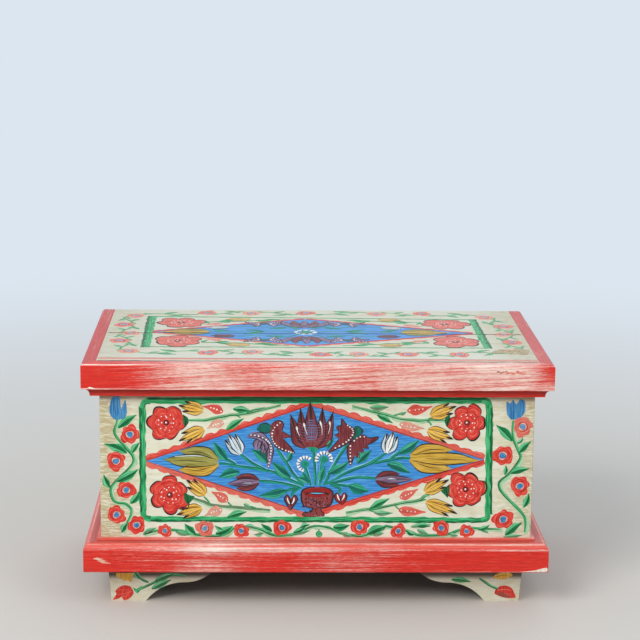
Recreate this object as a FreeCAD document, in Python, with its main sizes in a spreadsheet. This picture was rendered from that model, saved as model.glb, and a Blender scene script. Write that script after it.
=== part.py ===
import FreeCAD, Part
import os
import Sketcher

# Small painted chest with a hinged lid, in millimetres.
# X runs to the right, Y to the back and Z up, with the origin on the floor under the middle of the lid.

doc = FreeCAD.newDocument("folk_art_chest")
sheet = doc.addObject("Spreadsheet::Sheet", "Sizes")


class Size:
    """A length that carries its spreadsheet formula along with its number."""

    def __init__(self, value, formula):
        self.value = float(value)
        self.formula = formula

    def joined(self, other, sign, value):
        return Size(value, "(" + self.formula + " " + sign + " " + other.formula + ")")

    def __add__(self, other):
        other = as_size(other)
        return self.joined(other, "+", self.value + other.value)

    def __sub__(self, other):
        other = as_size(other)
        return self.joined(other, "-", self.value - other.value)

    def __mul__(self, other):
        other = as_size(other)
        return self.joined(other, "*", self.value * other.value)

    def __truediv__(self, other):
        other = as_size(other)
        return self.joined(other, "/", self.value / other.value)

    def __neg__(self):
        return self * -1


def as_size(number):
    if isinstance(number, Size):
        return number
    return Size(number, "(" + repr(number) + ")")


def cell(alias, value, note):
    """Put one driving dimension into the spreadsheet and return it."""
    row = str(len(cell_rows) + 1)
    cell_rows.append(alias)
    sheet.set("A" + row, note)
    sheet.set("B" + row, str(value))
    sheet.setAlias("B" + row, alias)
    return Size(value, "Sizes." + alias)


cell_rows = []
zero = as_size(0)

# Box
body_width = cell("body_width", 520, "box, over the end boards")
body_depth = cell("body_depth", 288, "box, over the front and back boards")
wall_height = cell("wall_height", 239, "box boards, from the feet to the rim")
wall_thickness = cell("wall_thickness", 16, "box boards")
bottom_thickness = cell("bottom_thickness", 14, "bottom board")
corner_round = cell("corner_round", 1.5, "worn upright corners of the box")

# Lid
lid_thickness = cell("lid_thickness", 18, "lid boards")
lid_clearance = cell("lid_clearance", 3, "between the lid moulding and the box")
lid_overhang_back = cell("lid_overhang_back", 12, "lid behind the back board")
lid_back_board_width = cell("lid_back_board_width", 148, "rear one of the two lid boards")
board_chamfer = cell("board_chamfer", 0.6, "eased edges along the joints of the lid")
lid_moulding_thickness = cell("lid_moulding_thickness", 17, "lid moulding at its fascia")
lid_fascia_height = cell("lid_fascia_height", 31, "plain face of the lid moulding")
lid_cove_radius = cell("lid_cove_radius", 8.5, "hollow under the fascia")
lid_lip = cell("lid_lip", 1, "flat between the fascia and the hollow")
lid_strip_height = cell("lid_strip_height", 1.5, "plain strip under the hollow")
lid_arris_round = cell("lid_arris_round", 4, "worn upper edge of the lid moulding")
batten_width = cell("batten_width", 40, "cross battens")
batten_thickness = cell("batten_thickness", 14, "cross battens")
batten_end_gap = cell("batten_end_gap", 8, "between a batten and the front or back board")
batten_inset = cell("batten_inset", 90, "middle of a batten from the end of the box")

# Base
base_projection = cell("base_projection", 20, "base moulding in front of the box")
base_height = cell("base_height", 38, "base moulding, over all")
base_fascia_height = cell("base_fascia_height", 28, "plain face of the base moulding")
base_fillet_width = cell("base_fillet_width", 4.5, "flat fillet against the box")
base_fillet_drop = cell("base_fillet_drop", 3, "face of the flat fillet")
base_ledge = cell("base_ledge", 2.5, "ledge below the fillet")
base_ovolo_radius = cell("base_ovolo_radius", 11, "rounded slope of the base moulding")
base_arris_round = cell("base_arris_round", 1, "worn lower edge of the base moulding")

# Feet
foot_height = cell("foot_height", 47, "floor to the underside of the base")
foot_inset = cell("foot_inset", 7.4, "outer face of the feet inside the face of the box")
foot_thickness = cell("foot_thickness", 18, "foot brackets")
foot_taper = cell("foot_taper", 3.6, "lean of the outer faces, over the height")
foot_pad = cell("foot_pad", 42, "part of a bracket that stands on the floor")
foot_waist_height = cell("foot_waist_height", 24.3, "where the sawn curve turns")
foot_face_length = cell("foot_face_length", 134, "front and back brackets")
foot_face_waist = cell("foot_face_waist", 95, "turn of the curve from the corner, front and back")
foot_face_cove = cell("foot_face_cove", 57, "radius of the hollow, front and back")
foot_face_lobe = cell("foot_face_lobe", 50, "radius of the lobe, front and back")
foot_side_length = cell("foot_side_length", 98, "side brackets")
foot_side_waist = cell("foot_side_waist", 71, "turn of the curve from the corner, sides")
foot_side_cove = cell("foot_side_cove", 30, "radius of the hollow, sides")
foot_side_lobe = cell("foot_side_lobe", 32, "radius of the lobe, sides")
block_size = cell("block_size", 22, "glue blocks in plan")
block_lift = cell("block_lift", 6, "glue blocks above the floor")

# Hinges
hinge_inset = cell("hinge_inset", 110, "middle of a hinge from the end of the box")
hinge_length = cell("hinge_length", 50, "hinge along its pin")
hinge_leaf_width = cell("hinge_leaf_width", 13, "flat part of a leaf")
hinge_leaf_thickness = cell("hinge_leaf_thickness", 1.4, "leaf plate")
hinge_leaf_gap = cell("hinge_leaf_gap", 0.1, "between the two closed leaves")
hinge_barrel_radius = cell("hinge_barrel_radius", 2.6, "knuckles")
hinge_pin_radius = cell("hinge_pin_radius", 1.3, "hinge pin")
hinge_pin_clearance = cell("hinge_pin_clearance", 0.05, "pin in the knuckles, on the radius")
hinge_knuckle_gap = cell("hinge_knuckle_gap", 0.2, "between neighbouring knuckles")
hinge_wood_clearance = cell("hinge_wood_clearance", 0.1, "barrel behind the back board")
hinge_turn_clearance = cell("hinge_turn_clearance", 0.5, "around the barrel as the lid turns")
hinge_mortise_clearance = cell("hinge_mortise_clearance", 0.2, "around a leaf in its recess")

# Nails and screws
nail_shank = cell("nail_shank", 2.2, "cut nail, across its square shank")
nail_head = cell("nail_head", 4.4, "cut nail, across its square head")
nail_head_height = cell("nail_head_height", 0.9, "head of a nail")
nail_bite = cell("nail_bite", 12, "nail in the piece behind the one it holds")
screw_radius = cell("screw_radius", 1.2, "shank of a screw")
screw_bite = cell("screw_bite", 11, "screw in the wood")
screw_clearance = cell("screw_clearance", 0.05, "hole around a screw")
corner_nail_bottom = cell("corner_nail_bottom", 44, "lowest corner nail above the lower edge of the box")
corner_nail_top = cell("corner_nail_top", 39, "highest corner nail below the rim")
bottom_nail_inset = cell("bottom_nail_inset", 94, "outer nails of the bottom board from its ends")
base_nail_inset = cell("base_nail_inset", 46, "outer nails of a base moulding from the corners of the box")
base_nail_height = cell("base_nail_height", 18, "nails of the base above its underside")
lid_nail_inset = cell("lid_nail_inset", 32, "outer nails of the lid from the board edges")
hinge_screw_spacing = cell("hinge_screw_spacing", 32, "between the screws of a leaf")
batten_nail_inset = cell("batten_nail_inset", 30, "batten nails from the batten ends and the lid joint")

# Places that several pieces share
front_overhang = lid_clearance + lid_moulding_thickness
lid_width = body_width + front_overhang * 2
lid_depth = body_depth + front_overhang + lid_overhang_back
lid_front = -lid_depth / 2
lid_back = lid_depth / 2
body_front = lid_front + front_overhang
body_back = body_front + body_depth
body_right = body_width / 2
inner_right = body_right - wall_thickness
inner_front = body_front + wall_thickness
inner_back = body_back - wall_thickness
rim = foot_height + wall_height
lid_top = rim + lid_thickness
lid_board_front = lid_front + lid_moulding_thickness
lid_board_right = lid_width / 2 - lid_moulding_thickness
lid_joint = lid_back - lid_back_board_width
hinge_middle = body_right - hinge_inset
screw_length = hinge_leaf_thickness + screw_bite
screw_head_radius = screw_radius + hinge_leaf_thickness
hinge_axis = body_back + hinge_barrel_radius + hinge_wood_clearance
leaf_back = hinge_axis - hinge_barrel_radius - hinge_turn_clearance
leaf_front = leaf_back - hinge_leaf_width
leaf_seat = hinge_leaf_thickness + hinge_leaf_gap / 2
batten_across = body_right - batten_inset
batten_length = body_depth - wall_thickness * 2 - batten_end_gap * 2
batten_middle = (inner_front + inner_back) / 2
foot_front = body_front + foot_inset
foot_back = body_back - foot_inset
foot_right = body_right - foot_inset


def bind(thing, prop, size):
    thing.setExpression(prop, as_size(size).formula)


def place(thing, x, y, z):
    bind(thing, "Placement.Base.x", x)
    bind(thing, "Placement.Base.y", y)
    bind(thing, "Placement.Base.z", z)


def box(name, corner, length, width, height):
    block = doc.addObject("Part::Box", name)
    bind(block, "Length", length)
    bind(block, "Width", width)
    bind(block, "Height", height)
    place(block, *corner)
    return block


def rod(name, start, radius, length):
    """A round bar along X from a start point."""
    bar = doc.addObject("Part::Cylinder", name)
    bar.Placement = FreeCAD.Placement(FreeCAD.Vector(), FreeCAD.Rotation(FreeCAD.Vector(0, 1, 0), 90))
    bind(bar, "Radius", radius)
    bind(bar, "Height", length)
    place(bar, *start)
    return bar


def cut(name, base, tools):
    result = base
    for number, tool in enumerate(tools):
        step = doc.addObject("Part::Cut", name + "_cut" + str(number))
        step.Base = result
        step.Tool = tool
        result = step
    return result


def fuse(name, shapes):
    joined = doc.addObject("Part::MultiFuse", name)
    joined.Shapes = shapes
    return joined


def group(name, members):
    bundle = doc.addObject("Part::Compound", name)
    bundle.Links = members
    return bundle


def new_body(name):
    return doc.addObject("PartDesign::Body", name + "_body")


def new_sketch(body, plane_role):
    plane = [feature for feature in body.Origin.OriginFeatures if feature.Role == plane_role][0]
    sketch = body.newObject("Sketcher::SketchObject", body.Name + "_sketch")
    sketch.AttachmentSupport = (plane, [""])
    sketch.MapMode = "FlatFace"
    return sketch


def hold_point(geometry, point, across, up):
    """Two distances from the origin that fix one point of a sketch, each with its size."""
    held = []
    for kind, size in (("DistanceX", across), ("DistanceY", up)):
        held.append((Sketcher.Constraint(kind, -1, 1, geometry, point, size.value), size))
    return held


def hold_radius(geometry, radius):
    return [(Sketcher.Constraint("Radius", geometry, radius.value), radius)]


def constrain(sketch, joins, held):
    """Add all constraints of a sketch at once and bind those that carry a size."""
    sketch.addConstraint(joins + [constraint for constraint, size in held])
    for number, (constraint, size) in enumerate(held, len(joins)):
        sketch.setExpression("Constraints[" + str(number) + "]", size.formula)


def arc_between(start, end, radius, centre_on_left):
    """The shorter arc between two points, its ends counted against the clock."""
    chord = end - start
    rise = (radius ** 2 - chord.Length ** 2 / 4) ** 0.5
    to_left = FreeCAD.Vector(-chord.y, chord.x, 0).normalize()
    centre = (start + end) / 2 + to_left * (rise if centre_on_left else -rise)
    middle = centre + ((start + end) / 2 - centre).normalize() * radius
    if centre_on_left:
        return Part.ArcOfCircle(start, middle, end)
    return Part.ArcOfCircle(end, middle, start)


def draw_outlines(sketch, outlines):
    """Draw closed outlines of (across, up) corners.

    A corner may add a radius and the side of its centre: the stretch after it is then an arc.
    """
    joins = []
    held = []
    for corners in outlines:
        points = [FreeCAD.Vector(corner[0].value, corner[1].value, 0) for corner in corners]
        first = sketch.GeometryCount
        ends = []
        for number, corner in enumerate(corners):
            start = points[number]
            end = points[(number + 1) % len(points)]
            if len(corner) == 2:
                sketch.addGeometry(Part.LineSegment(start, end), False)
                ends.append((1, 2))
            else:
                centre_on_left = corner[3] == "left"
                sketch.addGeometry(arc_between(start, end, corner[2].value, centre_on_left), False)
                ends.append((1, 2) if centre_on_left else (2, 1))
                held += hold_radius(first + number, corner[2])
            held += hold_point(first + number, ends[number][0], corner[0], corner[1])
        for number in range(len(corners)):
            after = (number + 1) % len(corners)
            join = ("Coincident", first + number, ends[number][1], first + after, ends[after][0])
            joins.append(Sketcher.Constraint(*join))
    constrain(sketch, joins, held)


def draw_circles(sketch, centres, radius):
    held = []
    for number, (across, up) in enumerate(centres):
        middle = FreeCAD.Vector(across.value, up.value, 0)
        sketch.addGeometry(Part.Circle(middle, FreeCAD.Vector(0, 0, 1), radius.value), False)
        held += hold_point(number, 3, across, up) + hold_radius(number, radius)
    constrain(sketch, [], held)


def draw_squares(sketch, centres, side):
    half = side / 2
    outlines = []
    for across, up in centres:
        outlines.append([
            (across - half, up - half),
            (across + half, up - half),
            (across + half, up + half),
            (across - half, up + half),
        ])
    draw_outlines(sketch, outlines)


def mirrored(corners):
    """The same outline on the other side of the upright axis."""
    swap = {"left": "right", "right": "left"}
    result = []
    for corner in corners:
        result.append((-corner[0], corner[1]) + tuple(corner[2:3]) + tuple(swap[side] for side in corner[3:]))
    return result


def pad(body, plane_role, corners, length, side="One side", backwards=False):
    sketch = new_sketch(body, plane_role)
    draw_outlines(sketch, [corners])
    feature = body.newObject("PartDesign::Pad", body.Name + "_pad")
    feature.Profile = sketch
    feature.SideType = side
    feature.Reversed = backwards
    bind(feature, "Length", length)
    return feature


def cut_through(body, plane_role, corners):
    """Saw an outline away through the whole body, both ways from its plane."""
    sketch = new_sketch(body, plane_role)
    draw_outlines(sketch, [corners])
    feature = body.newObject("PartDesign::Pocket", body.Name + "_pocket")
    feature.Profile = sketch
    feature.Type = "ThroughAll"
    feature.SideType = "Symmetric"
    return feature


def bars(body, plane_role, centres, draw, across, length, backwards, taper=0):
    """One pad of square or round bars, for the shanks or heads of a group of fasteners."""
    sketch = new_sketch(body, plane_role)
    draw(sketch, centres, across)
    feature = body.newObject("PartDesign::Pad", body.Name + "_pad")
    feature.Profile = sketch
    feature.Reversed = backwards
    feature.TaperAngle = taper
    bind(feature, "Length", length)


def nails(name, plane_role, backwards, position, centres, length):
    """A group of cut nails driven in from one plane. The boards are cut by the nails themselves."""
    body = new_body(name)
    body.AllowCompound = True
    bars(body, plane_role, centres, draw_squares, nail_shank, length, backwards)
    bars(body, plane_role, centres, draw_squares, nail_head, nail_head_height, backwards)
    place(body, *position)
    return body


def screws(name, plane_role, backwards, position, centres, length):
    """A group of countersunk screws driven in from one plane, and the holes that they fill."""
    made = []
    for ending, room in (("", zero), ("_holes", screw_clearance)):
        body = new_body(name + ending)
        body.AllowCompound = True
        bars(body, plane_role, centres, draw_circles, screw_radius + room, length + room, backwards)
        head_room = screw_head_radius + room
        bars(body, plane_role, centres, draw_circles, head_room, hinge_leaf_thickness, backwards, -45)
        place(body, *position)
        made.append(body)
    return made


parts = {}


# Nails and screws of the box

corner_nail_span = wall_height - corner_nail_bottom - corner_nail_top


def corner_nail_centres():
    centres = []
    for side in (-1, 1):
        for share in (0, 1 / 3, 2 / 3, 1):
            height = foot_height + corner_nail_bottom + corner_nail_span * share
            centres.append(((body_right - wall_thickness / 2) * side, height))
    return centres


def bottom_nail_centres():
    height = foot_height + bottom_thickness / 2
    reach = inner_right - bottom_nail_inset
    return [(reach * step, height) for step in (-1, 0, 1)]


corner_nail_length = wall_thickness + nail_bite
front_nails = nails(
    "front_board_nails", "XZ_Plane", True, (zero, body_front, zero),
    corner_nail_centres(), corner_nail_length)
back_nails = nails(
    "back_board_nails", "XZ_Plane", False, (zero, body_back, zero),
    corner_nail_centres(), corner_nail_length)
bottom_front_nails = nails(
    "bottom_front_nails", "XZ_Plane", True, (zero, body_front, zero),
    bottom_nail_centres(), corner_nail_length)
bottom_back_nails = nails(
    "bottom_back_nails", "XZ_Plane", False, (zero, body_back, zero),
    bottom_nail_centres(), corner_nail_length)
parts["front_board_nails"] = front_nails
parts["back_board_nails"] = back_nails
parts["bottom_board_nails"] = group("bottom_board_nails", [bottom_front_nails, bottom_back_nails])

base_nail_length = base_projection + nail_bite
base_nail_level = foot_height + base_nail_height
base_nail_reach = body_right - base_nail_inset
base_side_middle = (body_front + body_back) / 2
base_side_reach = body_depth / 2 - base_nail_inset
base_front_nails = nails(
    "base_front_nails", "XZ_Plane", True, (zero, body_front - base_projection, zero),
    [(base_nail_reach * step / 3, base_nail_level) for step in (-3, -1, 1, 3)], base_nail_length)
base_side_centres = [(base_side_middle + base_side_reach * step, base_nail_level) for step in (-1, 0, 1)]
base_left_nails = nails(
    "base_left_nails", "YZ_Plane", False, (-(body_right + base_projection), zero, zero),
    base_side_centres, base_nail_length)
base_right_nails = nails(
    "base_right_nails", "YZ_Plane", True, (body_right + base_projection, zero, zero),
    base_side_centres, base_nail_length)
base_nails = [base_front_nails, base_left_nails, base_right_nails]
parts["base_moulding_nails"] = group("base_moulding_nails", base_nails)


# Hinges: the outer two knuckles belong to the box, the middle one to the lid

knuckle_length = hinge_length / 3


def knuckle(name, middle, number, radius):
    start = middle - hinge_length / 2 + knuckle_length * number + hinge_knuckle_gap / 2
    return rod(name, (start, hinge_axis, rim), radius, knuckle_length - hinge_knuckle_gap)


def hinge_leaf(name, middle, numbers, plate_bottom):
    """A plate with its knuckles, bored for the pin."""
    left = middle - hinge_length / 2
    pieces = [box(name + "_plate", (left, leaf_front, plate_bottom),
                  hinge_length, hinge_leaf_width, hinge_leaf_thickness)]
    for number in numbers:
        start = left + knuckle_length * number + hinge_knuckle_gap / 2
        web_length = knuckle_length - hinge_knuckle_gap
        pieces.append(box(name + "_web" + str(number), (start, leaf_back, plate_bottom),
                          web_length, hinge_axis - leaf_back, hinge_leaf_thickness))
        pieces.append(knuckle(name + "_knuckle" + str(number), middle, number, hinge_barrel_radius))
    blank = fuse(name + "_blank", pieces)
    bore = rod(name + "_bore", (left, hinge_axis, rim), hinge_pin_radius + hinge_pin_clearance, hinge_length)
    return blank, bore


body_leaf_bottom = rim - leaf_seat
lid_leaf_bottom = rim + hinge_leaf_gap / 2
leaf_screw_row = (leaf_front + leaf_back) / 2
hinge_screw_centres = []
for side in (-1, 1):
    for step in (-1, 1):
        across = hinge_middle * side + hinge_screw_spacing / 2 * step
        hinge_screw_centres.append((across, leaf_screw_row))
hinge_body_screws, hinge_body_screw_holes = screws(
    "hinge_body_screws", "XY_Plane", True, (zero, zero, rim - hinge_leaf_gap / 2),
    hinge_screw_centres, screw_length)
hinge_lid_screws, hinge_lid_screw_holes = screws(
    "hinge_lid_screws", "XY_Plane", False, (zero, zero, lid_leaf_bottom),
    hinge_screw_centres, screw_length)
parts["hinge_body_screws"] = hinge_body_screws
parts["hinge_lid_screws"] = hinge_lid_screws

body_recesses = []
lid_recesses = []
for side_name, side in (("left", -1), ("right", 1)):
    middle = hinge_middle * side
    body_leaf = "hinge_" + side_name + "_body_leaf"
    lid_leaf = "hinge_" + side_name + "_lid_leaf"
    blank, bore = hinge_leaf(body_leaf, middle, (0, 2), body_leaf_bottom)
    parts[body_leaf] = cut(body_leaf, blank, [bore, hinge_body_screw_holes])
    blank, bore = hinge_leaf(lid_leaf, middle, (1,), lid_leaf_bottom)
    parts[lid_leaf] = cut(lid_leaf, blank, [bore, hinge_lid_screw_holes])
    pin = "hinge_" + side_name + "_pin"
    pin_end = middle - hinge_length / 2
    parts[pin] = rod(pin + "_rod", (pin_end, hinge_axis, rim), hinge_pin_radius, hinge_length)
    recess_left = middle - hinge_length / 2 - hinge_mortise_clearance
    recess_front = leaf_front - hinge_mortise_clearance
    recess_length = hinge_length + hinge_mortise_clearance * 2
    body_recesses.append(box(body_leaf + "_recess", (recess_left, recess_front, rim - leaf_seat),
                             recess_length, lid_back - recess_front, leaf_seat * 2))
    lid_recesses.append(box(lid_leaf + "_recess", (recess_left, recess_front, rim - leaf_seat),
                            recess_length, hinge_axis - recess_front, leaf_seat * 2))
    barrel_room = hinge_barrel_radius + hinge_turn_clearance
    barrel_corner = (recess_left, hinge_axis - barrel_room, rim - barrel_room)
    lid_recesses.append(box(lid_leaf + "_barrel_recess", barrel_corner,
                            recess_length, barrel_room * 2, barrel_room * 2))


# Box: the front and back boards cover the ends, and the bottom lies between all four

def wall_outline(outer, inner):
    """Plan of a front or back board, its two outer corners worn round."""
    toward_inner = 1 if inner.value > outer.value else -1
    shoulder = outer + corner_round * toward_inner
    turn = "left" if toward_inner == 1 else "right"
    return [
        (-body_right, shoulder, corner_round, turn),
        (-body_right + corner_round, outer),
        (body_right - corner_round, outer, corner_round, turn),
        (body_right, shoulder),
        (body_right, inner),
        (-body_right, inner),
    ]


def wall(name, outer, inner, tools):
    body = new_body(name)
    pad(body, "XY_Plane", wall_outline(outer, inner), wall_height)
    place(body, zero, zero, foot_height)
    parts[name] = cut(name, body, tools)


wall("front_board", body_front, inner_front, [front_nails, bottom_front_nails, base_front_nails])
wall("back_board", body_back, inner_back,
     [back_nails, bottom_back_nails, hinge_body_screw_holes] + body_recesses)
for side_name, corner, edge_nails in (("left", -body_right, base_left_nails),
                                      ("right", inner_right, base_right_nails)):
    name = side_name + "_end_board"
    board = box(name + "_blank", (corner, inner_front, foot_height),
                wall_thickness, body_depth - wall_thickness * 2, wall_height)
    parts[name] = cut(name, board, [front_nails, back_nails, edge_nails])
bottom = box("bottom_board_blank", (-inner_right, inner_front, foot_height),
             inner_right * 2, body_depth - wall_thickness * 2, bottom_thickness)
parts["bottom_board"] = cut("bottom_board", bottom, [bottom_front_nails, bottom_back_nails])


# Base moulding: fascia, rounded slope, ledge and fillet, as (out from the box, up from the floor)

base_top = foot_height + base_height
base_outline = [
    (zero, foot_height),
    (base_projection - base_arris_round, foot_height, base_arris_round, "left"),
    (base_projection, foot_height + base_arris_round),
    (base_projection, foot_height + base_fascia_height, base_ovolo_radius, "left"),
    (base_fillet_width + base_ledge, base_top - base_fillet_drop),
    (base_fillet_width, base_top - base_fillet_drop),
    (base_fillet_width, base_top),
    (zero, base_top),
]

# Lid moulding: fascia with a hollow under it, as (out from the lid boards, up from the floor)

fascia_bottom = lid_top - lid_fascia_height
lid_moulding_bottom = fascia_bottom - lid_cove_radius - lid_strip_height
hollow_foot = lid_moulding_thickness - lid_lip - lid_cove_radius
lid_outline = [
    (zero, lid_moulding_bottom),
    (hollow_foot, lid_moulding_bottom),
    (hollow_foot, fascia_bottom - lid_cove_radius, lid_cove_radius, "right"),
    (lid_moulding_thickness - lid_lip, fascia_bottom),
    (lid_moulding_thickness, fascia_bottom),
    (lid_moulding_thickness, lid_top - lid_arris_round, lid_arris_round, "left"),
    (lid_moulding_thickness - lid_arris_round, lid_top),
    (board_chamfer, lid_top),
    (zero, lid_top - board_chamfer),
]


def moulding_set(name, outline, projection, half_width, face, back, front_tools, left_tools, right_tools):
    """Mouldings around the front and both sides, mitred at the front corners."""
    outer_x = half_width + projection
    outer_y = face - projection
    body = new_body(name + "_front_moulding")
    pad(body, "YZ_Plane", mirrored(outline), outer_x * 2, "Symmetric")
    for side in (-1, 1):
        cut_through(body, "XY_Plane", [
            (outer_x * side, -projection),
            (half_width * side, zero),
            (outer_x * side, zero),
        ])
    place(body, zero, face, zero)
    parts[name + "_front_moulding"] = cut(name + "_front_moulding", body, front_tools)
    for side_name, side, tools in (("left", -1, left_tools), ("right", 1, right_tools)):
        piece = name + "_" + side_name + "_moulding"
        body = new_body(piece)
        pad(body, "XZ_Plane", outline if side == 1 else mirrored(outline), back - outer_y, "One side", True)
        cut_through(body, "XY_Plane", [
            (zero, zero),
            (projection * side, zero),
            (zero, projection),
        ])
        place(body, half_width * side, outer_y, zero)
        parts[piece] = cut(piece, body, tools)


moulding_set("base", base_outline, base_projection, body_right, body_front, body_back,
             [base_front_nails], [base_left_nails], [base_right_nails])


# Feet: each bracket is sawn to an ogee, leans inwards on its face and is mitred to its neighbour

def foot_bracket(name, hand, turn, corner, length, waist, cove, lobe):
    """Along the bracket is X times hand, inwards is Y, and the corner stands at the origin."""
    outline = [
        (zero, zero),
        (foot_taper + foot_pad, zero, cove, "right"),
        (waist, foot_waist_height, lobe, "left"),
        (length, foot_height),
        (zero, foot_height),
    ]
    body = new_body(name)
    pad(body, "XZ_Plane", outline if hand == 1 else mirrored(outline), foot_thickness, "One side", True)
    cut_through(body, "YZ_Plane", [(zero, zero), (foot_taper, zero), (zero, foot_height)])
    cut_through(body, "XY_Plane", [
        (zero, zero),
        (foot_thickness * hand, foot_thickness),
        (zero, foot_thickness),
    ])
    body.Placement = FreeCAD.Placement(FreeCAD.Vector(), FreeCAD.Rotation(FreeCAD.Vector(0, 0, 1), turn))
    place(body, corner[0], corner[1], zero)
    parts[name] = body


face_curve = (foot_face_length, foot_face_waist, foot_face_cove, foot_face_lobe)
side_curve = (foot_side_length, foot_side_waist, foot_side_cove, foot_side_lobe)
foot_corners = (
    ("front_left", (-foot_right, foot_front), 1, 0, -90),
    ("front_right", (foot_right, foot_front), -1, 0, 90),
    ("back_right", (foot_right, foot_back), 1, 180, 90),
    ("back_left", (-foot_right, foot_back), -1, 180, -90),
)
for corner_name, corner, hand, face_turn, side_turn in foot_corners:
    foot_bracket("foot_" + corner_name + "_face", hand, face_turn, corner, *face_curve)
    foot_bracket("foot_" + corner_name + "_side", -hand, side_turn, corner, *side_curve)
    name = "foot_block_" + corner_name
    if corner[0].value < 0:
        block_x = corner[0] + foot_thickness
    else:
        block_x = corner[0] - foot_thickness - block_size
    if corner[1].value < 0:
        block_y = corner[1] + foot_thickness
    else:
        block_y = corner[1] - foot_thickness - block_size
    parts[name] = box(name, (block_x, block_y, block_lift), block_size, block_size, foot_height - block_lift)


# Lid: two boards, the moulded edge, two battens

lid_nail_length = lid_moulding_thickness + nail_bite
lid_nail_level = rim + lid_thickness / 2
front_nail_reach = lid_board_right - lid_nail_inset
lid_front_nails = nails(
    "lid_front_nails", "XZ_Plane", True, (zero, lid_front, zero),
    [(front_nail_reach * step / 3, lid_nail_level) for step in (-3, -1, 1, 3)], lid_nail_length)
lid_side_centres = [
    (lid_board_front + lid_nail_inset, lid_nail_level),
    (lid_joint - lid_nail_inset, lid_nail_level),
    (lid_joint + lid_nail_inset, lid_nail_level),
    (lid_back - lid_nail_inset, lid_nail_level),
]
lid_left_nails = nails(
    "lid_left_nails", "YZ_Plane", False, (-lid_width / 2, zero, zero), lid_side_centres, lid_nail_length)
lid_right_nails = nails(
    "lid_right_nails", "YZ_Plane", True, (lid_width / 2, zero, zero), lid_side_centres, lid_nail_length)
parts["lid_moulding_nails"] = group("lid_moulding_nails", [lid_front_nails, lid_left_nails, lid_right_nails])

batten_nail_rows = (
    batten_middle - batten_length / 2 + batten_nail_inset,
    lid_joint - batten_nail_inset,
    lid_joint + batten_nail_inset,
    batten_middle + batten_length / 2 - batten_nail_inset,
)
batten_nail_centres = []
for side in (-1, 1):
    for row in batten_nail_rows:
        batten_nail_centres.append((batten_across * side, row))
batten_nails = nails(
    "lid_batten_nails", "XY_Plane", False, (zero, zero, rim - batten_thickness),
    batten_nail_centres, batten_thickness + nail_bite)
parts["lid_batten_nails"] = batten_nails

for side_name, side in (("left", -1), ("right", 1)):
    name = "lid_" + side_name + "_batten"
    batten_left = batten_across * side - batten_width / 2
    batten = box(name + "_blank", (batten_left, batten_middle - batten_length / 2, rim - batten_thickness),
                 batten_width, batten_length, batten_thickness)
    parts[name] = cut(name, batten, [batten_nails])


def lid_board(name, front, back, tools):
    """A board along X with its upper long edges eased."""
    body = new_body(name)
    pad(body, "YZ_Plane", [
        (front, rim),
        (back, rim),
        (back, lid_top - board_chamfer),
        (back - board_chamfer, lid_top),
        (front + board_chamfer, lid_top),
        (front, lid_top - board_chamfer),
    ], lid_board_right * 2, "Symmetric")
    parts[name] = cut(name, body, tools)


lid_nails = [lid_left_nails, lid_right_nails, batten_nails]
lid_board("lid_front_board", lid_board_front, lid_joint, [lid_front_nails] + lid_nails)
lid_board("lid_back_board", lid_joint, lid_back, lid_nails + [hinge_lid_screw_holes] + lid_recesses)
moulding_set("lid", lid_outline, lid_moulding_thickness, lid_board_right, lid_board_front, lid_back,
             [lid_front_nails], [lid_left_nails], [lid_right_nails])

doc.recompute()

for thing in doc.Objects:
    if "Invalid" in thing.State or "Error" in thing.State:
        raise RuntimeError("failed: " + thing.Name)
for name, thing in parts.items():
    thing.Label = name
    if thing.Shape.isNull() or not thing.Shape.isValid():
        raise RuntimeError("no valid shape: " + name)

os.makedirs("parts", exist_ok=True)
for name, thing in parts.items():
    thing.Shape.exportStep("parts/" + name + ".step")
print("pieces", len(parts))
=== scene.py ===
import math

import bmesh
import bpy
import numpy as np
from mathutils import Matrix, Vector


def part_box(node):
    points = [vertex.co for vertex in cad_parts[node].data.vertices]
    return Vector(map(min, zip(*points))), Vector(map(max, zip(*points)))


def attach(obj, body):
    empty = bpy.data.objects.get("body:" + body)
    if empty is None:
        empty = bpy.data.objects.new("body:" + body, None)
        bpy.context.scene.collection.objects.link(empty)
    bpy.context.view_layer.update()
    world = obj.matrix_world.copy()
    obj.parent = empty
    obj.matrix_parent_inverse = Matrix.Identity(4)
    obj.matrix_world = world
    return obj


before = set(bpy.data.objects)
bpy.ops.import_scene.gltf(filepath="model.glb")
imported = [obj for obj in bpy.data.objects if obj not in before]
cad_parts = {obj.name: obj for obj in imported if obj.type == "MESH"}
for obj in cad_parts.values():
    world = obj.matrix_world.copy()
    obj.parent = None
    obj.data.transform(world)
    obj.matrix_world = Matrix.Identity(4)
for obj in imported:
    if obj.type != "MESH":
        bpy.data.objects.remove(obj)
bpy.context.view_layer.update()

scene = bpy.context.scene
scene.view_settings.view_transform = "Standard"
mm = 0.001
print("chest loaded,", len(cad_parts), "nodes")

# faces and levels in millimetres, from the chest's own pieces
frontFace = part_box("front_board")[0].y / mm
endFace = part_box("right_end_board")[1].x / mm
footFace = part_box("foot_front_left_face")[0].y / mm
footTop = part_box("foot_front_left_face")[1].z / mm
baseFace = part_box("base_front_moulding")[0].y / mm
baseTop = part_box("base_front_moulding")[1].z / mm
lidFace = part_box("lid_front_moulding")[0].y / mm
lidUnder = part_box("lid_front_moulding")[0].z / mm
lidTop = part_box("lid_front_board")[1].z / mm
lidLip = lidTop - 31.0  # below it the moulding is set back


def tint(red, green, blue):
    # screen colour, 0 to 255, as the linear colour that the shader takes
    c = np.array([red, green, blue]) / 255.0
    c = np.where(c <= 0.04045, c / 12.92, ((c + 0.055) / 1.055) ** 2.4)
    return (float(c[0]), float(c[1]), float(c[2]), 1.0)


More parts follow.
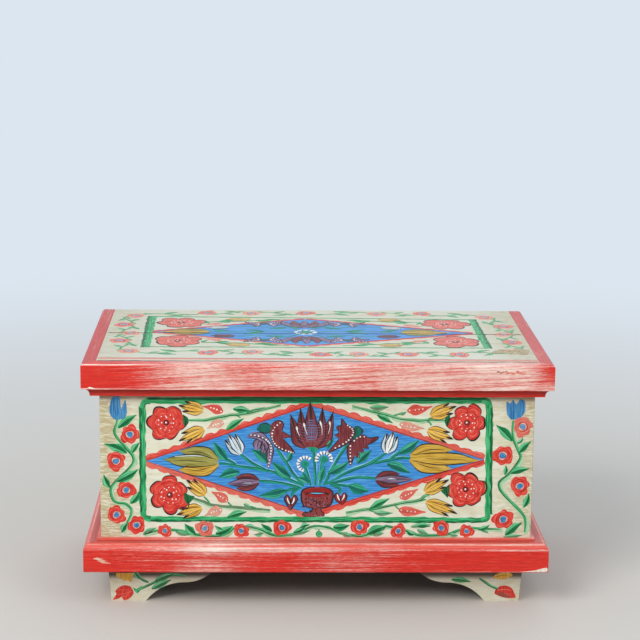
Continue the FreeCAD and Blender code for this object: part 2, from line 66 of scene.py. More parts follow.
# camera, floor and light
cameraView = {
    "place": (-65.5, -2394.9, 826.4), "yaw": 0.0297, "pitch": 0.2066, "roll": 0.0107,
    "lens": 109.69, "sensor": 36.0,
}
room = {
    "floor": tint(214, 209, 201), "floorCloud": tint(210, 205, 197), "far": tint(220, 230, 240),
    "sky": tint(221, 231, 241), "skyHigh": 0.74, "skyLow": 0.1, "skyRise": (-0.05, 0.75),
    "rings": (0.02, 1.0, 4.0, 12.0, 26.0), "corners": 96, "fade": (0.35, 2.2),
}
lamps = {
    "windowLamp": {"place": (-1.7, -2.3, 2.2), "aim": (0, 0, 0.16), "size": 1.9, "power": 72},
    "fillLamp": {"place": (2.1, -1.9, 2.0), "aim": (0, 0, 0.16), "size": 2.2, "power": 22},
    "backLamp": {"place": (0.6, 2.4, 2.3), "aim": (0, 0, 0.2), "size": 2.2, "power": 14},
}


def setCamera(v):
    # the look is turned aside by yaw and down by pitch, then the picture about the look by roll
    yaw, pitch, roll = v["yaw"], v["pitch"], v["roll"]
    level = Vector((math.cos(yaw), -math.sin(yaw), 0))
    rise = Vector((math.sin(yaw) * math.sin(pitch), math.cos(yaw) * math.sin(pitch), math.cos(pitch)))
    look = Vector((math.sin(yaw) * math.cos(pitch), math.cos(yaw) * math.cos(pitch), -math.sin(pitch)))
    right = level * math.cos(roll) + rise * math.sin(roll)
    up = rise * math.cos(roll) - level * math.sin(roll)
    data = bpy.data.cameras.new("photoCamera")
    data.lens, data.sensor_width = v["lens"], v["sensor"]
    camera = bpy.data.objects.new("photoCamera", data)
    turn = Matrix((right, up, -look)).transposed().to_4x4()
    camera.matrix_world = Matrix.Translation(Vector(v["place"]) * mm) @ turn
    scene.collection.objects.link(camera)
    scene.camera = camera


def addLamp(name, v):
    # a round lamp at its place, turned to its aim
    data = bpy.data.lights.new(name, "AREA")
    data.shape, data.size, data.energy = "DISK", v["size"], v["power"]
    lamp = bpy.data.objects.new(name, data)
    lamp.location = v["place"]
    lamp.rotation_euler = (Vector(v["aim"]) - Vector(v["place"])).to_track_quat("-Z", "Y").to_euler()
    scene.collection.objects.link(lamp)


# shader nodes, which go into the tree on the bench
bench = {}


def fill(node, inputs):
    # an input is a socket to join or a plain value
    for key, value in inputs.items():
        if isinstance(value, bpy.types.NodeSocket):
            bench["tree"].links.new(value, node.inputs[key])
        else:
            node.inputs[key].default_value = value
    return node


def put(kind, inputs=None, **settings):
    # one node with its settings and inputs
    node = bench["tree"].nodes.new("ShaderNode" + kind)
    for key, value in settings.items():
        setattr(node, key, value)
    return fill(node, inputs or {})


def calc(operation, a, b=0.0, clamp=False):
    # one sum on two values
    return put("Math", {0: a, 1: b}, operation=operation, use_clamp=clamp).outputs[0]


def plus(a, b, clamp=False):
    return calc("ADD", a, b, clamp)


def minus(a, b):
    return calc("SUBTRACT", a, b)


def times(a, *others):
    # product of all the values
    for b in others:
        a = calc("MULTIPLY", a, b)
    return a


def most(a, b):
    return calc("MAXIMUM", a, b)


def apart(a, b=0.0):
    # how far a is from b, |a - b|
    return calc("ABSOLUTE", minus(a, b))


def step(value, low, high):
    # soft step: 0 below low, 1 above high
    return put("MapRange", {0: value, 1: low, 2: high}, interpolation_type="SMOOTHSTEP").outputs[0]


def below(value, low, high):
    # 1 - step: 1 below low, 0 above high
    return minus(1.0, step(value, low, high))


def band(value, low, high, top, end):
    # step up from low to high, and down again from top to end
    return times(step(value, low, high), below(value, top, end))


def mixed(amount, a, b):
    # a * (1 - amount) + b * amount
    return put("Mix", {0: amount, 6: a, 7: b}, data_type="RGBA").outputs[2]


def noise(place, scale, detail, roughness=0.5):
    # clouds of about 1 / scale across
    inputs = {"Vector": place, "Scale": scale, "Detail": detail, "Roughness": roughness}
    return put("TexNoise", inputs).outputs[0]


def stretched(place, stretch):
    # each axis of the place times its own amount
    return put("VectorMath", {0: place, 1: stretch}, operation="MULTIPLY").outputs[0]


def seenRays():
    # 1 for what the camera sees, also in reflections and through glass
    path = put("LightPath").outputs
    seen = plus(path["Is Camera Ray"], path["Is Glossy Ray"])
    return plus(seen, path["Is Transmission Ray"], True)


def newGroup(name, inputs, outputs):
    # an empty node group with its sockets
    tree = bench["tree"] = bpy.data.node_groups.new(name, "ShaderNodeTree")
    for label, kind, value in inputs:
        socket = tree.interface.new_socket(name=label, in_out="INPUT", socket_type="NodeSocket" + kind)
        socket.default_value = value
    for label, kind in outputs:
        tree.interface.new_socket(name=label, in_out="OUTPUT", socket_type="NodeSocket" + kind)
    return tree, tree.nodes.new("NodeGroupInput").outputs, tree.nodes.new("NodeGroupOutput")


def placeGroup(group, inputs):
    # a shared effect with values of its own
    return put("Group", inputs, node_tree=group).outputs


def newMaterial(name, **settings):
    # a material on the bench, with its Principled shader set
    material = bpy.data.materials.new(name)
    material.use_nodes = True
    bench["tree"] = material.node_tree
    return material, fill(material.node_tree.nodes["Principled BSDF"], settings)


def bodyMillimetres():
    # the place on the chest, in millimetres, with its three parts
    coords = put("TexCoord").outputs["Object"]
    place = put("VectorMath", {0: coords, 3: 1 / mm}, operation="SCALE").outputs[0]
    parts = put("SeparateXYZ", {0: place}).outputs
    return place, parts[0], parts[1], parts[2]


def roughen(shader, height, distance, strength):
    # bumps of a height in millimetres
    bump = put("Bump", {"Height": height, "Distance": distance * mm, "Strength": strength})
    fill(shader, {"Normal": bump.outputs[0]})


# shared effects
def makeBrushMarks():
    # two noises drawn out along the stroke: broad sweeps of the brush and its fine hairs
    inputs = [("Place", "Vector", (0, 0, 0)), ("Stretch", "Vector", (0.02, 0.5, 0.5)),
              ("Shift", "Float", 0.0)]
    tree, given, result = newGroup("brushMarks", inputs, [("Broad", "Float"), ("Fine", "Float")])
    pulled = stretched(given["Place"], given["Stretch"])
    for label, scale, detail, roughness in (("Broad", 1.0, 3.0, 0.55), ("Fine", 3.1, 4.0, 0.7)):
        values = {"Vector": pulled, "W": given["Shift"], "Scale": scale, "Detail": detail,
                  "Roughness": roughness}
        marks = put("TexNoise", values, noise_dimensions="4D")
        fill(result, {label: marks.outputs[0]})
    return tree


def makePineGrain():
    # growth rings cut lengthways: level lines of a noise drawn out along the first axis, with dark late
    # wood and fine pores
    inputs = [("Place", "Vector", (0, 0, 0)), ("Pale", "Color", tint(214, 182, 134)),
              ("Dark", "Color", tint(164, 120, 70))]
    tree, given, result = newGroup("pineGrain", inputs, [("Color", "Color"), ("Height", "Float")])
    ringCount, lateWood, poreWood, cloudWood = 27.0, 0.55, 0.5, 0.4
    swell = noise(stretched(given["Place"], (0.0017, 0.016, 0.016)), 1.0, 1.2, 0.4)
    rings = calc("FRACT", times(swell, ringCount))
    pores = noise(stretched(given["Place"], (0.03, 1.6, 1.6)), 1.0, 3.0)
    cloud = noise(given["Place"], 0.012, 2.0)
    late = times(calc("POWER", rings, 2.6), lateWood)
    late = plus(late, times(minus(pores, 0.5), poreWood), True)
    wood = mixed(late, given["Pale"], given["Dark"])
    wood = mixed(times(step(cloud, 0.4, 0.85), cloudWood), wood, tint(150, 116, 76))
    fill(result, {"Color": wood, "Height": late})
    return tree


def makeAgeStain():
    # grime: broad clouds, wider for a greater amount, with small specks in them
    inputs = [("Place", "Vector", (0, 0, 0)), ("Amount", "Float", 0.5)]
    tree, given, result = newGroup("ageStain", inputs, [("Cloud", "Float"), ("Specks", "Float")])
    cloud = noise(given["Place"], 0.02, 5.0, 0.65)
    speck = noise(given["Place"], 0.42, 2.0, 0.6)
    low = minus(0.78, times(given["Amount"], 0.4))
    cloud = step(cloud, low, plus(low, 0.22))
    fill(result, {"Cloud": cloud, "Specks": step(speck, 0.66, 0.78)})
    return tree


brushMarks, pineGrain, ageStain = makeBrushMarks(), makePineGrain(), makeAgeStain()

# bare pine
pine = {"roughness": 0.68, "stain": tint(74, 54, 36), "grimeAmount": 0.35, "grime": 0.2, "feet": 0.9}


def makePine(name, grain):
    # pine with the grain along x or y, stained in clouds, and darkened below the top of the feet as painted
    # shade under the chest
    material, shader = newMaterial(name, Roughness=pine["roughness"])
    place, x, y, z = bodyMillimetres()
    order = {"x": (x, y, z), "y": (y, x, z)}[grain]
    across = plus(times(order[1], 0.45), order[2])
    turned = put("CombineXYZ", {0: order[0], 1: across, 2: order[1]}).outputs[0]
    wood = placeGroup(pineGrain, {"Place": turned})
    grime = placeGroup(ageStain, {"Place": place, "Amount": pine["grimeAmount"]})
    # painted shade under the chest: the stain darkens all below the top of the feet
    shade = times(below(z, footTop + 0.2, footTop + 1.0), pine["feet"])
    shade = most(shade, times(grime["Cloud"], pine["grime"]))
    colour = mixed(shade, wood["Color"], pine["stain"])
    fill(shader, {"Base Color": colour})
    roughen(shader, wood["Height"], 0.08, 0.4)
    return material, shader, (place, x, y, z), colour


# ivory ground paint over pine: its colours, how strongly each kind of age and of painted shade shows, and
# where
ground = {
    "ivory": tint(226, 223, 194), "bleached": tint(236, 237, 221), "yellowed": tint(186, 170, 123),
    "soilAndShadow": tint(112, 88, 58), "dustAndSheen": tint(150, 147, 138), "grimeAndShade": tint(60, 42, 28),
    "bleach": 0.75, "yellow": 0.85, "yellowAll": 0.16, "yellowFeet": 0.05, "grimeAmount": 0.55,
    "cloud": 0.5, "specks": 0.35, "feetGrimeAndShade": 0.94, "lidShade": 0.6,
    "turnover": (-60.0, 60.0), "ends": (190.0, 262.0), "feet": (footTop + 0.5, footTop + 2.0),
    "underBase": (footTop - 20.0, footTop - 12.0), "footFaces": (121.0, 122.5), "footSides": (239.0, 240.5),
    "yellowTop": (lidUnder - 13.0, lidUnder + 1.0, lidUnder + 12.0, lidUnder + 22.0),
    "underLid": (lidUnder - 9.0, lidUnder - 3.0, lidUnder - 1.0, lidUnder + 5.0),
}


def makeGround(name, grain, bare, white, stale=(1.0, 1.0), dull=0.0):
    # bare says where the board was left unpainted and white where it bleached; stale is the yellowing of the
    # left and right ends, dull a grey veil over all, of dust and painted sheen
    material, shader, (place, x, y, z), wood = makePine(name, grain)
    along = {"x": (0.03, 0.17, 0.17), "y": (0.17, 0.03, 0.17)}[grain]
    marks = placeGroup(brushMarks, {"Place": place, "Stretch": along, "Shift": 2.0})
    grime = placeGroup(ageStain, {"Place": place, "Amount": ground["grimeAmount"]})
    coat = mixed(step(marks["Broad"], 0.3, 0.72), ground["ivory"], ground["bleached"])
    coat = mixed(times(white(x, y, z), ground["bleach"]), coat, ground["bleached"])
    side = plus(stale[0], times(step(x, *ground["turnover"]), stale[1] - stale[0]))
    feet = below(z, *ground["feet"])
    aged = times(step(apart(x), *ground["ends"]), side)
    # yellower also in a band about the lower edge of the lid
    aged = most(aged, band(z, *ground["yellowTop"]))
    aged = most(aged, times(feet, ground["yellowFeet"]))
    aged = plus(times(aged, ground["yellow"]), ground["yellowAll"])
    coat = mixed(times(aged, step(marks["Fine"], 0.3, 0.66)), coat, ground["yellowed"])
    coat = mixed(times(grime["Cloud"], ground["cloud"]), coat, ground["yellowed"])
    coat = mixed(times(grime["Specks"], ground["specks"]), coat, ground["soilAndShadow"])
    # painted shade with grime: the tops of the feet darken under the base moulding
    shaded = times(feet, step(z, *ground["underBase"]), ground["feetGrimeAndShade"])
    coat = mixed(shaded, coat, ground["grimeAndShade"])
    # painted shadow of the lid: a darker band on the front just under its edge
    coat = mixed(times(band(z, *ground["underLid"]), ground["lidShade"]), coat, ground["soilAndShadow"])
    # a grey veil of dust and painted sheen, on the lid
    coat = mixed(dull, coat, ground["dustAndSheen"])
    rough = plus(0.42, times(marks["Fine"], 0.2))
    fill(shader, {"Base Color": mixed(bare(x, y, z), coat, wood), "Roughness": rough})
    roughen(shader, marks["Fine"], 0.22, 0.35)
    return material


def always(amount):
    # the same amount all over
    return lambda x, y, z: amount


def inside(value, face):
    # 1 behind a painted face, 0 on it; the paint goes about 1 mm round the edge
    return below(value, face - 1.4, face - 0.6)


def bareFront(x, y, z):
    # behind the front, but not at the board's ends
    return times(step(y, frontFace + 0.6, frontFace + 1.4), inside(apart(x), endFace))


nowhere = always(0.0)
bareEnd = lambda x, y, z: inside(apart(x), endFace)
bareLid = lambda x, y, z: inside(z, lidTop)
bareFootFace = lambda x, y, z: below(apart(y), *ground["footFaces"])
bareFootSide = lambda x, y, z: below(apart(x), *ground["footSides"])
whiteFront = lambda x, y, z: below(z, baseTop - 1.0, baseTop + 43.0)  # the lower border
whiteLid = lambda x, y, z: below(y, lidFace + 20.0, lidFace + 110.0)  # the front border
groundFront = makeGround("groundFront", "x", bareFront, whiteFront, (1.3, 0.95))
groundEnd = makeGround("groundEnd", "y", bareEnd, nowhere)
groundLid = makeGround("groundLid", "x", bareLid, whiteLid, (0.6, 0.9), 0.26)
groundFootFace = makeGround("groundFootFace", "x", bareFootFace, nowhere, (0.4, 0.4))
groundFootSide = makeGround("groundFootSide", "y", bareFootSide, nowhere, (0.4, 0.4))
pineX, pineY = makePine("pineAlongX", "x")[0], makePine("pineAlongY", "y")[0]

# red moulding paint: its colours, how strongly each kind shows, and what makes a place thin
red = {
    "scarlet": tint(230, 50, 36), "dark": tint(190, 26, 18), "grime": tint(92, 14, 12),
    "pink": tint(238, 124, 108), "worn": tint(250, 232, 218), "bareWood": tint(196, 168, 128),
    "pinkHairs": 0.35, "scuffs": 0.35, "sweeps": 0.36, "hairs": 0.52, "patches": 0.24,
    "unworn": 0.98, "edgeWear": (0.66, 0.86), "edgeCore": 0.35, "specular": 0.3,
}


def makeRed(name, run, wear, edges, shadeAndGrime, soft=0.09, lean=0.0, faded=nowhere):
    # brushed along the run, x or y, and worn through to the pale undercoat: wear is how much and soft how
    # softly, edges are worn levels with their width and force, deep darkens with grime and painted shade,
    # faded where the red went pink
    material, shader = newMaterial(name, **{"Specular IOR Level": red["specular"]})
    place, x, y, z = bodyMillimetres()
    stretch = {"x": (0.011, 0.62, 0.62), "y": (0.62, 0.011, 0.62)}[run]
    hairs = {"x": (0.045, 1.5, 1.5), "y": (1.5, 0.045, 1.5)}[run]
    slanted = put("CombineXYZ", {0: x, 1: y, 2: minus(z, times(x, lean))}).outputs[0]
    sweep = placeGroup(brushMarks, {"Place": slanted, "Stretch": stretch, "Shift": 7.0})
    hair = placeGroup(brushMarks, {"Place": slanted, "Stretch": hairs, "Shift": 3.0})
    patch = noise(place, 0.011, 3.0, 0.6)
    colour = mixed(step(sweep["Fine"], 0.35, 0.7), red["scarlet"], red["dark"])
    colour = mixed(times(step(hair["Broad"], 0.5, 0.75), red["pinkHairs"]), colour, red["pink"])
    thinned = times(faded(x, y, z), step(sweep["Fine"], 0.32, 0.6))
    colour = mixed(thinned, colour, red["pink"])
    # painted shade with grime: darker red in the hollow under the lid's lip and in a line on the base ledge
    colour = mixed(shadeAndGrime(x, y, z), colour, red["grime"])
    # a thin place is where the sweeps, the hairs and the patches together pass the amount of wear
    thin = plus(times(sweep["Broad"], red["sweeps"]), times(hair["Fine"], red["hairs"]))
    thin = plus(thin, times(patch, red["patches"]))
    level = minus(red["unworn"], wear(x, y, z))
    rubbed = step(thin, minus(level, soft), plus(level, soft))
    for height, width, force in edges:
        near = below(apart(z, height), width * red["edgeCore"], width)
        near = times(near, step(thin, *[v - force for v in red["edgeWear"]]))
        rubbed = most(rubbed, near)
    colour = mixed(rubbed, colour, red["worn"])
    scuff = times(rubbed, step(hair["Fine"], 0.58, 0.72), red["scuffs"])
    colour = mixed(scuff, colour, red["bareWood"])
    fill(shader, {"Base Color": colour, "Roughness": plus(0.36, times(rubbed, 0.3))})
    roughen(shader, minus(hair["Broad"], times(rubbed, 0.4)), 0.2, 0.5)
    return material


def lidFrontWear(x, y, z):
    # solid at the far left, thin over the middle and right but for the upper corner, none under the lip
    amount = plus(0.22, times(step(x, -290.0, -130.0), 0.195))
    corner = times(step(x, 256.0, 282.0), step(z, lidLip + 3.0, lidLip + 25.0))
    amount = minus(amount, times(corner, 0.12))
    return times(amount, step(z, lidLip - 0.5, lidLip + 0.5))


def lipShadeAndGrime(x, y, z):
    # under the lip the strip is set back, and its hollow is darkened as painted shade with grime
    return times(band(z, lidLip - 9.5, lidLip - 3.5, lidLip - 0.6, lidLip + 0.2), 0.5)


def lipShadeAndTopDirt(x, y, z):
    # painted shade under the lip, and a little dirt along the upper edge
    return most(lipShadeAndGrime(x, y, z), times(step(z, lidTop - 4.0, lidTop - 1.0), 0.22))


def baseWear(x, y, z):
    # most along the arris over the face, left of the middle, and less to the right
    middle = below(apart(x, -80.0), 60.0, 230.0)
    arris = below(apart(z, baseTop - 9.6), 1.0, 4.2)
    amount = plus(0.29, times(middle, arris, 0.09))
    amount = minus(amount, times(step(x, 60.0, 240.0), 0.07))
    return plus(amount, times(middle, 0.04))


def ledgeShadowLine(x, y, z):
    # a painted shadow line on the ledge under the fillet
    return times(below(apart(z, baseTop - 2.8), 0.25, 0.6), 0.36)


def roundFade(x, y, z):
    # the rounded slope over the face
    return times(step(z, baseTop - 9.5, baseTop - 6.5), 0.75)


# worn levels: height, width, force
lidFrontEdges = [(lidTop - 1.3, 1.1, 0.2), (lidLip + 0.6, 1.4, 0.19)]
lidSideEdges = [(lidTop, 3.0, 0.0), (lidLip + 0.6, 1.6, 0.05)]
baseEdges = [(baseTop - 0.3, 0.9, 0.12), (baseTop - 4.2, 1.0, 0.16), (baseTop - 9.8, 1.6, 0.15),
             (footTop + 0.4, 1.5, 0.12)]
redLidFront = makeRed("redLidFront", "x", lidFrontWear, lidFrontEdges, lipShadeAndGrime, 0.11, 0.05)
redLidSide = makeRed("redLidSide", "y", always(0.3), lidSideEdges, lipShadeAndTopDirt)
redBase = makeRed("redBase", "x", baseWear, baseEdges, ledgeShadowLine, 0.12, faded=roundFade)
redBaseSide = makeRed("redBaseSide", "y", always(0.24), baseEdges, ledgeShadowLine, faded=roundFade)


def makeIron(name, bright, dull):
    # iron with a rust bloom, which is rough and hardly metallic
    material, shader = newMaterial(name)
    bloom = noise(bodyMillimetres()[0], 0.5, 4.0, 0.65)
    rust = step(bloom, 0.48, 0.66)
    fill(shader, {"Base Color": mixed(rust, tint(*bright), tint(*dull)),
                  "Metallic": minus(0.9, times(rust, 0.8)),
                  "Roughness": plus(0.4, times(rust, 0.35))})
    roughen(shader, bloom, 0.15, 0.5)
    return material


hingeSteel = makeIron("hingeSteel", (128, 124, 118), (96, 66, 44))
bareNail = makeIron("bareNail", (94, 90, 86), (84, 56, 38))

finishes = {
    "front_board": groundFront, "back_board": pineX, "bottom_board": pineX,
    "left_end_board": groundEnd, "right_end_board": groundEnd,
    "base_front_moulding": redBase, "base_left_moulding": redBaseSide, "base_right_moulding": redBaseSide,
    "front_board_nails": groundFront, "back_board_nails": bareNail, "bottom_board_nails": groundFront,
    "base_moulding_nails": redBase,
    "lid_front_board": groundLid, "lid_back_board": groundLid, "lid_front_moulding": redLidFront,
    "lid_left_moulding": redLidSide, "lid_right_moulding": redLidSide,
    "lid_moulding_nails": redLidFront, "lid_batten_nails": bareNail,
    "lid_left_batten": pineY, "lid_right_batten": pineY,
}
for name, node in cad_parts.items():
    if name.startswith("foot_block"):
        finish = pineX
    elif name.startswith("foot_"):
        finish = groundFootFace if name.endswith("_face") else groundFootSide
    elif name.startswith("hinge_"):
        finish = hingeSteel
    else:
        finish = finishes[name]
    for slot in node.material_slots:
        slot.material = finish
print("finishes on the chest's own pieces")

# ornament: every stroke of the brush is a thin skin of paint on its board
footLean = 3.6  # how far a foot's face leans out from the floor to its top
canvases = {
    "front": {"body": "chest", "origin": (0, frontFace, 0), "across": (1, 0, 0), "up": (0, 0, 1)},
    "lid": {"body": "lid", "origin": (0, 0, lidTop), "across": (1, 0, 0), "up": (0, 1, 0)},
    "base": {"body": "chest", "origin": (0, baseFace, 0), "across": (1, 0, 0), "up": (0, 0, 1)},
    "fascia": {"body": "lid", "origin": (0, lidFace, 0), "across": (1, 0, 0), "up": (0, 0, 1)},
    "leftEnd": {"body": "chest", "origin": (-endFace, 4, 0), "across": (0, -1, 0), "up": (0, 0, 1)},
    "rightEnd": {"body": "chest", "origin": (endFace, 4, 0), "across": (0, 1, 0), "up": (0, 0, 1)},
    "feet": {"body": "chest", "origin": (0, footFace + footLean, 0), "across": (1, 0, 0),
             "up": (0, -footLean, footTop)},
}
# height of a coat, least lift of the next stroke and how many lifts there are, drift of the line, its knots;
# millimetres, but swell is a share of the width and weld is in metres
film = {"coat": 0.055, "shift": 0.0018, "lifts": 26, "shake": 0.3, "swell": 0.13, "knots": 7.0, "weld": 1e-8}
# half width along each kind of stroke, as a share of its width
forms = {
    "pen": np.array([0.4, 1.0, 0.9, 0.3]),
    "stem": np.array([0.35, 0.5, 0.42, 0.52, 0.3]),
    "leaf": np.array([0.1, 0.36, 0.5, 0.42, 0.22, 0.02]),
    "petal": np.array([0.3, 0.46, 0.5, 0.42, 0.24, 0.02]),
    "tulip": np.array([0.2, 0.44, 0.52, 0.44, 0.24, 0.02]),
    "cup": np.array([0.3, 0.5, 0.54, 0.44, 0.24, 0.02]),
    "drop": np.array([0.05, 0.16, 0.32, 0.5, 0.47, 0.12]),
}
pots = {}  # strokes by board and colour
strokeCount = [0]
rand = np.random.default_rng(11)


def spline(points, s):
    # Catmull-Rom line through the points, s from 0 to 1
    p = np.asarray(points, float)
    p = np.concatenate([2 * p[:1] - p[1:2], p, 2 * p[-1:] - p[-2:-1]])
    u = np.asarray(s) * (len(p) - 3)
    i = np.clip(u.astype(int), 0, len(p) - 4)
    f = (u - i).reshape(-1, *[1] * (p.ndim - 1))
    a, b, c, d = p[i], p[i + 1], p[i + 2], p[i + 3]
    second, third = 2 * a - 5 * b + 4 * c - d, 3 * b - a - 3 * c + d
    return 0.5 * (2 * b + (c - a) * f + second * f ** 2 + third * f ** 3)


def spread(width, s):
    # width of a stroke at s: a plain number, knots along it, or a function
    if callable(width):
        return width(s)
    knots = np.atleast_1d(np.asarray(width, float))
    return np.full(len(s), knots[0]) if len(knots) == 1 else np.maximum(spline(knots, s), 0.0)


def arrays(*points):
    # points that can be added and scaled
    return [np.asarray(p, float) for p in points]


def circle(angle):
    # points at the angles on a circle of radius 1
    return np.stack([np.cos(angle), np.sin(angle)], -1)


def leftOf(way):
    # square to the way, on its left, 1 long
    return np.array([-way[1], way[0]]) / max(np.linalg.norm(way), 1e-6)


def gaps(line):
    # distances from point to point
    return np.linalg.norm(np.diff(np.asarray(line, float), axis=0), axis=1)


def wavy(count, mean, swing):
    # knots that stray from the mean by up to the swing
    return mean + swing * rand.uniform(-1, 1, count)


def lay(canvas, colour, flat, raised, brush, layer):
    # one stroke's grid goes into the pot of its colour: board + across + up + coat height outwards
    board = canvases[canvas]
    across, up = Vector(board["across"]), Vector(board["up"]).normalized()
    out = np.array(across.cross(up))
    strokeCount[0] += 1
    lift = film["coat"] * layer + film["shift"] * (strokeCount[0] % film["lifts"])
    place = np.array(board["origin"]) + flat[..., :1] * np.array(across) + flat[..., 1:] * np.array(up)
    place = place + (raised * lift)[..., None] * out
    rows, cols = raised.shape
    k = np.arange(rows * cols).reshape(rows, cols)
    faces = np.stack([k[:-1, :-1], k[1:, :-1], k[1:, 1:], k[:-1, 1:]], -1).reshape(-1, 4)
    pots.setdefault((canvas, colour), []).append((place.reshape(-1, 3) * mm, faces, brush.reshape(-1, 3)))


def ribbon(canvas, colour, points, left, right, layer, tone=0.0, rows=22, hand=1.0):
    # stroke(s, t) = line(s) + side(s) * width(s) * t; its rim lies on the board
    s = np.concatenate([[0, 0.006], np.linspace(0.02, 0.98, rows), [0.994, 1]])
    line = spline(points, s)
    side = np.gradient(line, axis=0)
    side = np.stack([-side[:, 1], side[:, 0]], -1) / np.maximum(np.linalg.norm(side, axis=1), 1e-9)[:, None]
    wide, narrow = spread(left, s), spread(right, s)
    # the hand wavers: the line drifts a little and each edge swells on its own
    knots = int(np.clip(gaps(line).sum() / film["knots"], 3, rows // 2 + 2))
    drift, swellWide, swellNarrow = [spline(rand.uniform(-1, 1, knots), s) for n in range(3)]
    line = line + side * (film["shake"] * hand * np.minimum(1, wide.max() / 2) * drift)[:, None]
    wide = wide * (1 + film["swell"] * hand * swellWide)
    narrow = narrow * (1 + film["swell"] * hand * swellNarrow)
    t = np.array([-1, -0.94, -0.35, 0.35, 0.94, 1])
    offset = np.where(t > 0, wide[:, None], narrow[:, None]) * t
    flat = line[:, None] + side[:, None] * offset[..., None]
    raised = ((np.abs(t) < 1)[None] & ((s > 0) & (s < 1))[:, None]).astype(float)
    run = np.concatenate([[0], np.cumsum(gaps(line))]) + 37.0 * (strokeCount[0] % 97)
    brush = np.stack(np.broadcast_arrays(run[:, None], offset, tone), -1)
    lay(canvas, colour, flat, raised, brush, layer)
    return line + side * wide[:, None], line - side * narrow[:, None], line


def stroke(canvas, colour, points, half, layer, tone=0.0, rows=22):
    # a ribbon as wide to the left as to the right
    return ribbon(canvas, colour, points, half, half, layer, tone, rows)


def disc(canvas, colour, centre, radius, layer, lobes=0, notch=0.0, turn=0.0, flatten=1.0, tone=0.0, count=28,
         wild=1.0):
    # petalled disc(r, angle): radius * (1 - notch + notch * |cos(lobes * angle / 2)|), with an uneven edge
    angle = np.linspace(0, 2 * math.pi, count + 1)
    r = np.array([0, 0.45, 0.95, 1.0])
    edge = np.full(len(angle), radius)
    if lobes:
        edge = radius * (1 - notch + notch * np.abs(np.cos(lobes * (angle - turn) / 2)) ** 0.6)
    phase = rand.uniform(0, 2 * math.pi, 3)
    uneven = (0.035 * np.sin(2 * angle + phase[0]) + 0.03 * np.sin(3 * angle + phase[1])
              + 0.02 * np.sin(7 * angle + phase[2]))
    edge = edge * (1 + wild * uneven)
    flat = np.asarray(centre, float) + (r[:, None] * edge)[..., None] * (circle(angle) * (1, flatten))
    raised = np.broadcast_to((r < 1)[:, None], flat.shape[:2]).astype(float)
    run = radius * angle + 31.0 * (strokeCount[0] % 89)
    brush = np.stack(np.broadcast_arrays(run, r[:, None] * edge, tone), -1)
    lay(canvas, colour, flat, raised, brush, layer)
    return flat[-1]


def shape(canvas, colour, centre, outline, layer, edge=0.7, tone=0.0):
    # any outline that can all be seen from its centre: rings from the centre to the outline, then a pen line
    p = np.asarray(list(outline) + [outline[0]], float)
    if np.sum(p[:-1, 0] * p[1:, 1] - p[1:, 0] * p[:-1, 1]) < 0:
        p = p[::-1]
    s = np.linspace(0, len(outline), 5 * len(outline) + 1)
    straight = np.stack([np.interp(s, np.arange(len(p)), p[:, k]) for k in (0, 1)], -1)
    rim = 0.5 * straight + 0.5 * spline(p, s / len(outline))
    centre, r = np.asarray(centre, float), np.array([0, 0.5, 0.95, 1.0])
    flat = centre + r[:, None, None] * (rim - centre)[None]
    raised = np.broadcast_to((r < 1)[:, None], flat.shape[:2]).astype(float)
    run = flat[..., ::-1] + 29.0 * (strokeCount[0] % 83)
    lay(canvas, colour, flat, raised, np.concatenate([run, np.full(flat.shape[:2] + (1,), tone)], -1), layer)
    if edge:
        half = len(rim) // 2
        pen(canvas, rim[1:half:2], edge, layer + 1)
        pen(canvas, rim[half:-1:2], edge, layer + 1)


def dots(canvas, colour, points, radius, layer):
    # small discs of uneven size
    for p in points:
        disc(canvas, colour, p, radius * rand.uniform(0.8, 1.2), layer, count=9)


def bent(base, tip, bend):
    # three points from base to tip, the middle one pushed to the left by bend
    base, tip = arrays(base, tip)
    return [base, (base + tip) / 2 + leftOf(tip - base) * bend, tip]


def pen(canvas, points, width, layer, colour="ink", rows=14):
    # a thin line that swells once; ink runs wider than paint
    half = width * (0.86 if colour == "ink" else 0.5)
    stroke(canvas, colour, points, forms["pen"] * half, layer, rows=rows)


def stem(canvas, colour, points, width, layer=2, tone=0.0):
    # swells and thins along its run, with a darker edge
    rows = 8 + 6 * len(points)
    _, right, line = stroke(canvas, colour, points, forms["stem"] * width, layer, tone, rows)
    if not colour.endswith("Dark"):
        pen(canvas, (line * 0.4 + right * 0.6)[1:-1:3], width * 0.36, layer + 0.5, colour + "Dark", rows)


def leaf(canvas, colour, base, tip, width, bend=0.0, layer=3, tone=0.0):
    # a pointed leaf: one half brushed over darker, light streaks on the other, a thin rib
    line = bent(base, tip, bend)
    half = forms["leaf"] * min(width, 0.46 * math.dist(base, tip)) * rand.uniform(0.9, 1.15)
    left, _, middle = stroke(canvas, colour, line, half, layer, tone, 12)
    ribbon(canvas, colour + "Dark", line, half * 0.1, half * 0.7, layer + 1, tone, 10)
    for share in (0.35, 0.7):
        pen(canvas, (middle + (left - middle) * share)[3:-3:3], 1.1, layer + 1, colour + "Light")
    pen(canvas, line, 0.6, layer + 2, colour + "Dark")


def stems(canvas, colour, lines, width, layer=2, tone=0.0):
    # a stem along each line
    for line in lines:
        stem(canvas, colour, line, width, layer, tone)


def leaves(canvas, colour, places, width, bend, layer, tone=0.0):
    # bent to the left and right in turn
    for k, (base, tip) in enumerate(places):
        leaf(canvas, colour, base, tip, width, bend * (-1) ** k, layer, tone)


def pens(canvas, colour, lines, width, layer):
    # a thin line along each line
    for line in lines:
        pen(canvas, line, width, layer, colour)


def blobs(canvas, colour, outlines, layer):
    # plain shapes, each about the mean of its outline
    for outline in outlines:
        shape(canvas, colour, np.mean(outline, axis=0), outline, layer, 0)


